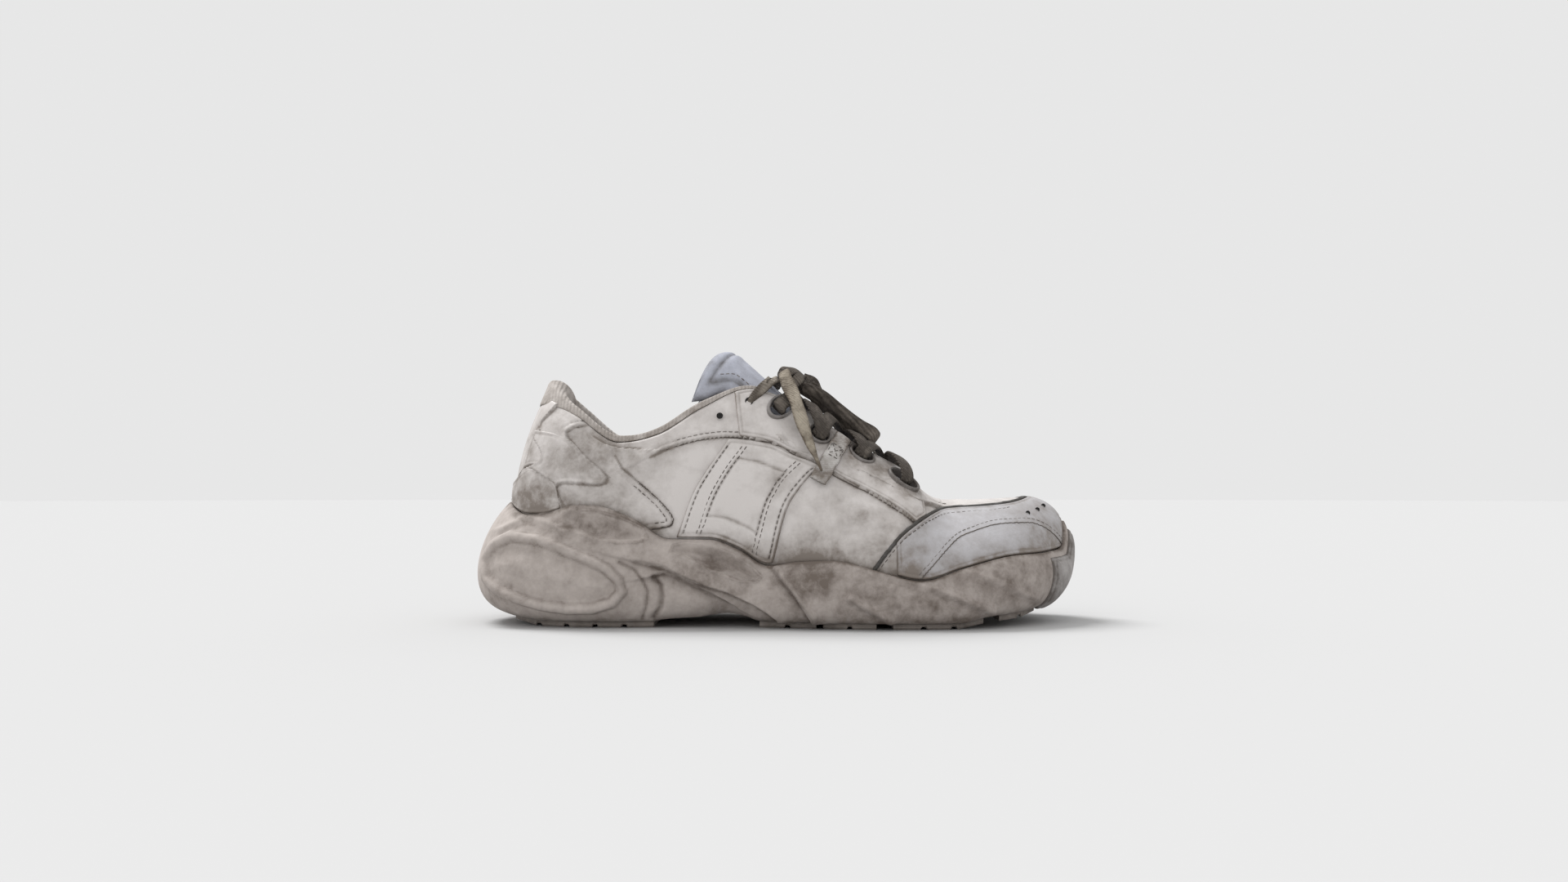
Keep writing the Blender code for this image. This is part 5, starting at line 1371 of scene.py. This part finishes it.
def fine_tongue():
    """The padded tongue, with a seam round its filling."""
    along, across = np.linspace(0, 1, 90), np.linspace(-1, 1, 57)
    s, a = np.broadcast_arrays(along[:, None], across[None, :])
    thick = TONGUE_THICK * (0.35 + 0.65 * np.minimum(np.minimum(1.0, 5 * s), 8 * (1 - s) + 0.35))
    edge = 0.78 + 0.22 * np.cos(a * math.pi / 2)
    to_side = np.minimum(1 - abs(a), 3.2 * (1 - s))
    seam = -0.0007 * soft(to_side - 0.22, 0.035) + 0.0004 * soft(to_side - 0.34, 0.10)
    round_edge = 0.0018 * (1 - np.sqrt(np.clip(to_side / 0.10, 0, 1)))
    slack = 0.00045 * waves(np.stack([s, a, 0 * a], axis=-1) * 0.1, 0.05, 12, 2)
    free = np.clip((s - 0.80) / 0.20, 0, 1) ** 2
    reach = (0.0042 * np.sin(math.pi * abs(a)) * free)[..., None] * np.array([-0.78, 0.0, 0.62])
    wing = np.clip((s - 0.62) / 0.38, 0, 1) ** 1.3
    reach = reach + (0.0062 * abs(a) ** 2.4 * wing)[..., None] * np.array([-0.30, 0.0, -0.95])
    reach = reach - (0.0046 * a * abs(a) ** 2 * wing)[..., None] * np.array([0.0, 1.0, 0.0])
    over = tongue_point(s, a, -seam + round_edge - slack) + reach
    under = tongue_point(s, a, thick * edge - 0.5 * round_edge) + reach
    rows, columns = s.shape
    points = np.concatenate([over, under[:, ::-1]], axis=1)
    faces = grid_faces(rows, 2 * columns, True).tolist()
    for ring, flip in ((0, True), (rows - 1, False)):
        for j in range(columns - 1):
            a, b = ring * 2 * columns + j, ring * 2 * columns + j + 1
            c, d = ring * 2 * columns + 2 * columns - 2 - j, ring * 2 * columns + 2 * columns - 1 - j
            faces.append([a, b, c, d][::-1] if flip else [a, b, c, d])
    # Painted shade in the seam's groove and along the rounded edge.
    shade_and_dirt = 0.15 + 0.5 * soft(to_side - 0.22, 0.05) + 0.3 * soft(to_side, 0.06)
    shade_and_dirt = np.concatenate([shade_and_dirt, np.full(shade_and_dirt.shape, 0.5)], axis=1)
    made = fine_mesh("tongue_pad", points.reshape(-1, 3), faces, LOOK["tongue"], {"shade_and_dirt": shade_and_dirt})
    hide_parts("tongue")
    for side in (-1, 1):
        s_line = np.linspace(0.35, 0.93, 60)
        line = tongue_point(s_line, np.full(60, side * 0.72), np.full(60, -0.0003))
        stitches(f"tongue_stitch_{'near' if side < 0 else 'far'}", line)


def fine_rings():
    """The moulded rims of the lace windows."""
    for side, mirror in (("outer", False), ("inner", True)):
        for label, x, z, across, tall, turn in WINDOWS:
            u, v = window_place(x, z, mirror)
            outer = RING_WIDTH - GAP
            low, high = -0.5 * WALL, GAP + OVERLAY + RING_HEIGHT
            shape = [(outer, low), (outer, high - 0.0010)]
            for angle in np.linspace(0, math.pi, 7):
                shape.append((0.5 * outer * (1 + math.cos(angle)), high - 0.0007 + 0.0007 * math.sin(angle)))
            shape += [(0.0, high - 0.0010), (0.0, low)]
            sections = np.stack([oval(u, v, across, tall, turn, grow, h, 48) for grow, h in shape])
            faces = grid_faces(len(shape), 48, True)
            made = fine_mesh(f"rim_{side}_{label}", sections.reshape(-1, 3), faces, LOOK["ring"],
                             {"shade_and_dirt": np.full(len(shape) * 48, 0.4)})
            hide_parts(f"ring_{side}_{label}")


def along_path(points, normals, count):
    """A smooth path through points, with a facing direction at each place."""
    points, normals = np.array(points), np.array(normals)
    far = np.concatenate([[0], np.cumsum(np.linalg.norm(np.diff(points, axis=0), axis=1))])
    at = np.linspace(0, far[-1], count)
    path = np.stack([smooth(far, points[:, k], at) for k in range(3)], axis=1)
    facing = unit(np.stack([np.interp(at, far, normals[:, k]) for k in range(3)], axis=1))
    ahead = unit(np.gradient(path, axis=0))
    side = unit(np.cross(ahead, facing))
    return path, side, np.cross(side, ahead)


def ribbon(name, points, normals, width, thick, look, count=60, taper=None, curl=0.0):
    """A flat woven lace or strap, with rounded edges."""
    path, side, facing = along_path(points, normals, count)
    turn = np.linspace(0, 2 * math.pi, 20, endpoint=False)
    c, s = np.cos(turn), np.sin(turn)
    a = np.sign(c) * abs(c) ** 0.6
    b = np.sign(s) * abs(s) ** 0.75
    size = np.ones(count) if taper is None else np.interp(np.linspace(0, 1, count), *zip(*taper))
    share = np.linspace(0, 1, count)
    wobble = 1 + 0.05 * np.sin(share * 23.0 + len(name))
    w = 0.5 * width * size * wobble
    dip = curl * (a**2)[None, :] * w[:, None]
    rings = path[:, None] + side[:, None] * (w[:, None] * a[None, :])[..., None]
    rings = rings + facing[:, None] * ((0.5 * thick * np.minimum(1, size + 0.25))[:, None]
                                       * b[None, :] - dip)[..., None]
    faces = grid_faces(count, 20, True)[:, ::-1].tolist()
    faces.append(list(range(20)))
    faces.append([(count - 1) * 20 + j for j in range(20)][::-1])
    # Painted shade along the lace's rounded edges, and tone that changes along it.
    shade_and_dirt = (np.broadcast_to(0.25 + 0.5 * abs(a)[None, :] ** 6, (count, 20))
            + 0.25 * np.sin(share * 9.0)[:, None])
    made = fine_mesh(name, rings.reshape(-1, 3), faces, LOOK[look], {"shade_and_dirt": shade_and_dirt})
    return made, path + SHIFT


def fine_bow():
    """The knot, the loops and the free ends of the lace."""
    centre = np.array(KNOT) * (LENGTH, WIDTH, COLLAR_HEIGHT)
    knot = fine_knot(centre)
    far_short, _ = ribbon("lace_tail_far", [centre + np.array(p) for p in END_FAR],
                          [(0.2, 0.3, 0.9), (0, 0.6, 0.8), (0, 0.8, 0.6)], FAR_LOOP_WIDTH, LACE_THICK,
                          "lace", 24, ((0, 0.9), (0.8, 1), (1, 0.5)))
    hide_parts("lace_end_far")
    near_face = [(0, 0.81, 0.58)] * 4 + [(0.5, 0.5, 0), (0.75, -0.1, -0.6),
                                         (0.5, -0.8, -0.5)] + [(0, -0.81, -0.58)] * 4
    near, near_path = ribbon("lace_bow_near", [centre + np.array(p) for p in LOOP_NEAR], near_face,
                             NEAR_LOOP_WIDTH, LACE_THICK, "lace", 110, curl=0.10)
    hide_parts("lace_loop_near")
    far_face = [(0, -0.95, 0.3)] * 4 + [(0.5, -0.5, 0), (0.75, 0.1, -0.6),
                                        (0.5, 0.8, -0.3)] + [(0, 0.95, -0.3)] * 4
    far, far_path = ribbon("lace_bow_far", [centre + np.array(p) for p in LOOP_FAR], far_face,
                           FAR_LOOP_WIDTH, LACE_THICK, "lace", 90, curl=0.08)
    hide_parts("lace_loop_far")
    start = [centre + np.array(p) for p in END_NEAR_START]
    route = [lace_frame(x, z, False, lift) for x, z, lift in END_NEAR]
    points = start + [p for p, _ in route]
    faces = [(-0.5, -0.6, 0.6), (-0.3, -0.8, 0.5)] + [tuple(n) for _, n in route]
    end, end_path = ribbon("lace_tail_near", points, faces, LACE_WIDTH, LACE_THICK,
                           "lace_end", 80,
                           ((0, 0.8), (0.2, 1.0), (0.62, 0.95), (0.78, 0.6), (0.88, 0.30), (1, 0.16)), 0.08)
    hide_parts("lace_end_near")


def fine_knot(centre):
    """A pulled knot: a folded core with two turns of lace round it."""
    rows, columns = 40, 48
    rise = np.linspace(-math.pi / 2, math.pi / 2, rows)[:, None]
    turn = np.linspace(0, 2 * math.pi, columns, endpoint=False)[None, :]
    fold = 1 + 0.10 * np.cos(3 * turn + 2.2 * rise) * np.cos(rise) + 0.04 * np.cos(7 * turn - 3 * rise)
    shape = np.stack([np.cos(rise) * np.cos(turn) * fold, np.cos(rise) * np.sin(turn) * fold,
                      np.sin(rise) * fold], axis=-1) * (0.5 * np.array(KNOT_SIZE))
    lean = np.array(Matrix.Rotation(math.radians(38), 3, "Y"))
    points = shape.reshape(-1, 3) @ lean.T + centre
    # Painted shade in the folds of the knot.
    shade_and_dirt = 0.4 + 0.4 * np.broadcast_to(np.cos(3 * turn + 2.2 * rise) < -0.3, (rows, columns))
    core = fine_mesh("lace_knot_core", points, grid_faces(rows, columns, True), LOOK["lace"],
                     {"shade_and_dirt": shade_and_dirt}, merge=1e-6)
    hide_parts("lace_knot")
    for index, (start, tilt) in enumerate(((0.0, 0.5), (1.1, -0.4))):
        round_it = np.linspace(0, 2 * math.pi, 40)
        loop = np.stack([0.35 * np.sin(round_it * 1.0 + start) * 0.5 + tilt * np.cos(round_it),
                         np.cos(round_it), np.sin(round_it)], axis=1)
        loop = unit(loop) * (0.5 * np.array(KNOT_SIZE)) * 1.10
        away = unit(loop / (0.5 * np.array(KNOT_SIZE)) ** 2)
        wrap, _ = ribbon(f"lace_knot_turn_{index}", loop @ lean.T + centre, away @ lean.T, 0.0052, 0.0013,
                         "lace", 70)
        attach(wrap, "root")
        wrap.parent = core
        wrap.matrix_parent_inverse = core.matrix_world.inverted()
    return core


def fine_crossings():
    """The lace over the tongue, through every window and up to the knot."""
    lift = GAP + OVERLAY + RING_HEIGHT + GAP + 0.5 * LACE_THICK + 0.0010
    for k in range(len(WINDOWS) - 1):
        for side in (False, True):
            here, there = WINDOWS[k], WINDOWS[k + 1]
            first, first_normal = lace_frame(here[1], here[2], side, lift)
            last, last_normal = lace_frame(there[1], there[2], not side, lift)
            u_here, _ = window_place(here[1], here[2], side)
            u_there, _ = window_place(there[1], there[2], not side)
            rim_a = skin(u_here + (0.22 if not side else -0.22), 1.0, lift)
            rim_b = skin(u_there + (0.22 if not side else -0.22), 1.0, lift)
            middle, up = crown_over(0.5 * (first[0] + last[0]), LACE_LIFT)
            middle = middle + np.array([0.0, 0.5 * (rim_a[1] + rim_b[1]) - middle[1], 0.0])
            in_a, in_b = first - first_normal * WINDOW_SINK, last - last_normal * WINDOW_SINK
            turn_a = first + unit(first - rim_a) * 0.0018 - first_normal * 0.0012
            turn_b = last + unit(last - rim_b) * 0.0018 - last_normal * 0.0012
            points = (in_a, turn_a, first, rim_a, middle, rim_b, last, turn_b, in_b)
            ends_a, ends_b = unit(first - rim_a), unit(last - rim_b)
            normals = (ends_a, unit(ends_a + first_normal), first_normal, unit(first_normal + up), up,
                       unit(last_normal + up), last_normal, unit(ends_b + last_normal), ends_b)
            made, _ = ribbon(f"lace_cross_{k}_{int(side)}", points, normals, LACE_WIDTH, LACE_THICK, "lace",
                             90)
            if k == 0 and not side:
                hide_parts("lace_crossings")
    centre = np.array(KNOT) * (LENGTH, WIDTH, COLLAR_HEIGHT)
    for mirror in (False, True):
        way = 1 if mirror else -1
        low, normal = lace_frame(-0.0438, 0.927, mirror, 0.0)
        mid, mid_normal = lace_frame(-0.030, 0.965, mirror, 0.0022)
        points = (low - normal * 0.002, low + normal * 0.0016, mid,
                  mid + np.array([0.006, 0.0, 0.0055]), centre + np.array([-0.014, way * 0.0085, -0.003]),
                  centre + np.array([-0.006, way * 0.004, 0.0]))
        up = np.array([-0.4, way * 0.5, 0.8])
        normals = (normal, normal, mid_normal, unit(mid_normal + up), up, up)
        ribbon(f"lace_top_{int(mirror)}", points, normals, TOP_LACE_WIDTH, LACE_THICK, "lace_pale",
               60, ((0, 0.35), (0.10, 0.5), (0.3, 1), (1, 1)))


def fine_tabs():
    """The woven straps on the facing, sewn down with a cross."""
    lift = GAP + OVERLAY + GAP + 0.5 * LACE_THICK + 0.0003
    for name, mirror in (("lace_tab_outer", False), ("lace_tab_inner", True)):
        places = [lace_frame(x, z, mirror, lift) for x, z in TAB_PLACES]
        made, _ = ribbon(f"{name}_weave", [p for p, _ in places], [n for _, n in places],
                         TAB_WIDTH, LACE_THICK, "webbing", 50)
        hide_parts(name)
        path, side, facing = along_path([p for p, _ in places], [n for _, n in places], 50)
        top = path + facing * 0.0009
        a, b = 16, 27
        corners = [top[a] + side[a] * 0.003, top[a] - side[a] * 0.003, top[b] - side[b] * 0.003,
                   top[b] + side[b] * 0.003]
        for index, (p, q) in enumerate(((0, 1), (2, 3), (0, 2), (1, 3), (1, 2), (0, 3))):
            line = np.array([corners[p] + (corners[q] - corners[p]) * t for t in np.linspace(0, 1, 6)])
            line = line + facing[20] * 0.0002
            stitches(f"{name}_cross_{index}", line)


def punched_holes():
    """Small holes of the facing that no rim goes round."""
    for mirror in (False, True):
        for k, (x, z, size) in enumerate(((-25.9, 95.3, 1.5), (-12.5, 102, 1.9))):
            place = on_side([(x, z), (x + 1.3, z)], mirror, SEAT + OVERLAY + STITCH_LIFT)[0]
            hole(f"lace_hole_{k}_{int(mirror)}", place, size * MM)


def keep_nodes():
    """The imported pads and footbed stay, in worn rubber and cloth."""
    for name, look in (("outsole_heel", "rubber"), ("outsole_rear", "rubber"), ("outsole_middle", "rubber"),
                       ("outsole_front", "rubber"), ("outsole_toe", "rubber"), ("insole", "insole")):
        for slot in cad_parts[name].material_slots:
            slot.material = LOOK[look]


def camera():
    data = bpy.data.cameras.new("camera")
    data.lens = FOCAL
    data.sensor_width = 36.0
    made = bpy.data.objects.new("camera", data)
    made.location = (CAMERA_ALONG, -CAMERA_BACK, CAMERA_HEIGHT)
    made.rotation_euler = (math.radians(90 + CAMERA_PITCH), 0.0, 0.0)
    bpy.context.scene.collection.objects.link(made)
    bpy.context.scene.camera = made


def soft_light(name, aim_from, strength, spread):
    """A broad soft light from far away, as a big studio lamp gives."""
    data = bpy.data.lights.new(name, "SUN")
    data.energy = strength
    data.angle = math.radians(spread)
    made = bpy.data.objects.new(name, data)
    made.rotation_euler = Vector(aim_from).to_track_quat("Z", "Y").to_euler()
    bpy.context.scene.collection.objects.link(made)


def studio():
    """A plain pale floor, and soft light from above, behind and a little from the near side."""
    sides = 96
    points = [(FLOOR_REACH * math.cos(2 * math.pi * k / sides),
               FLOOR_REACH * math.sin(2 * math.pi * k / sides), 0.0)
              for k in range(sides)]
    mesh = bpy.data.meshes.new("floor")
    mesh.from_pydata(points, [], [list(range(sides))])
    floor = bpy.data.objects.new("floor", mesh)
    bpy.context.scene.collection.objects.link(floor)
    pale = bpy.data.materials.new("pale_floor")
    pale.use_nodes = True
    shader = pale.node_tree.nodes["Principled BSDF"]
    shader.inputs["Base Color"].default_value = (*[FLOOR_TONE] * 3, 1.0)
    shader.inputs["Roughness"].default_value = 1.0
    shader.inputs["Specular IOR Level"].default_value = 0.0
    mesh.materials.append(pale)
    soft_light("key", (-0.5, 0.40, 1.0), 2.5, 30)
    soft_light("fill", (-0.5, -1.0, 0.8), 0.40, 60)
    world = bpy.data.worlds.new("studio")
    world.use_nodes = True
    world.node_tree.nodes["Background"].inputs["Color"].default_value = (1.0, 1.0, 1.0, 1.0)
    world.node_tree.nodes["Background"].inputs["Strength"].default_value = 0.80
    bpy.context.scene.world = world
    bpy.context.scene.view_settings.view_transform = "Standard"


camera()
studio()
fine_bow()
fine_upper()
fine_overlays()
fine_midsole()
fine_bumper()
fine_collar()
fine_tongue()
fine_rings()
fine_crossings()
fine_tabs()
punched_holes()
piping()
seam_stitches()
keep_nodes()
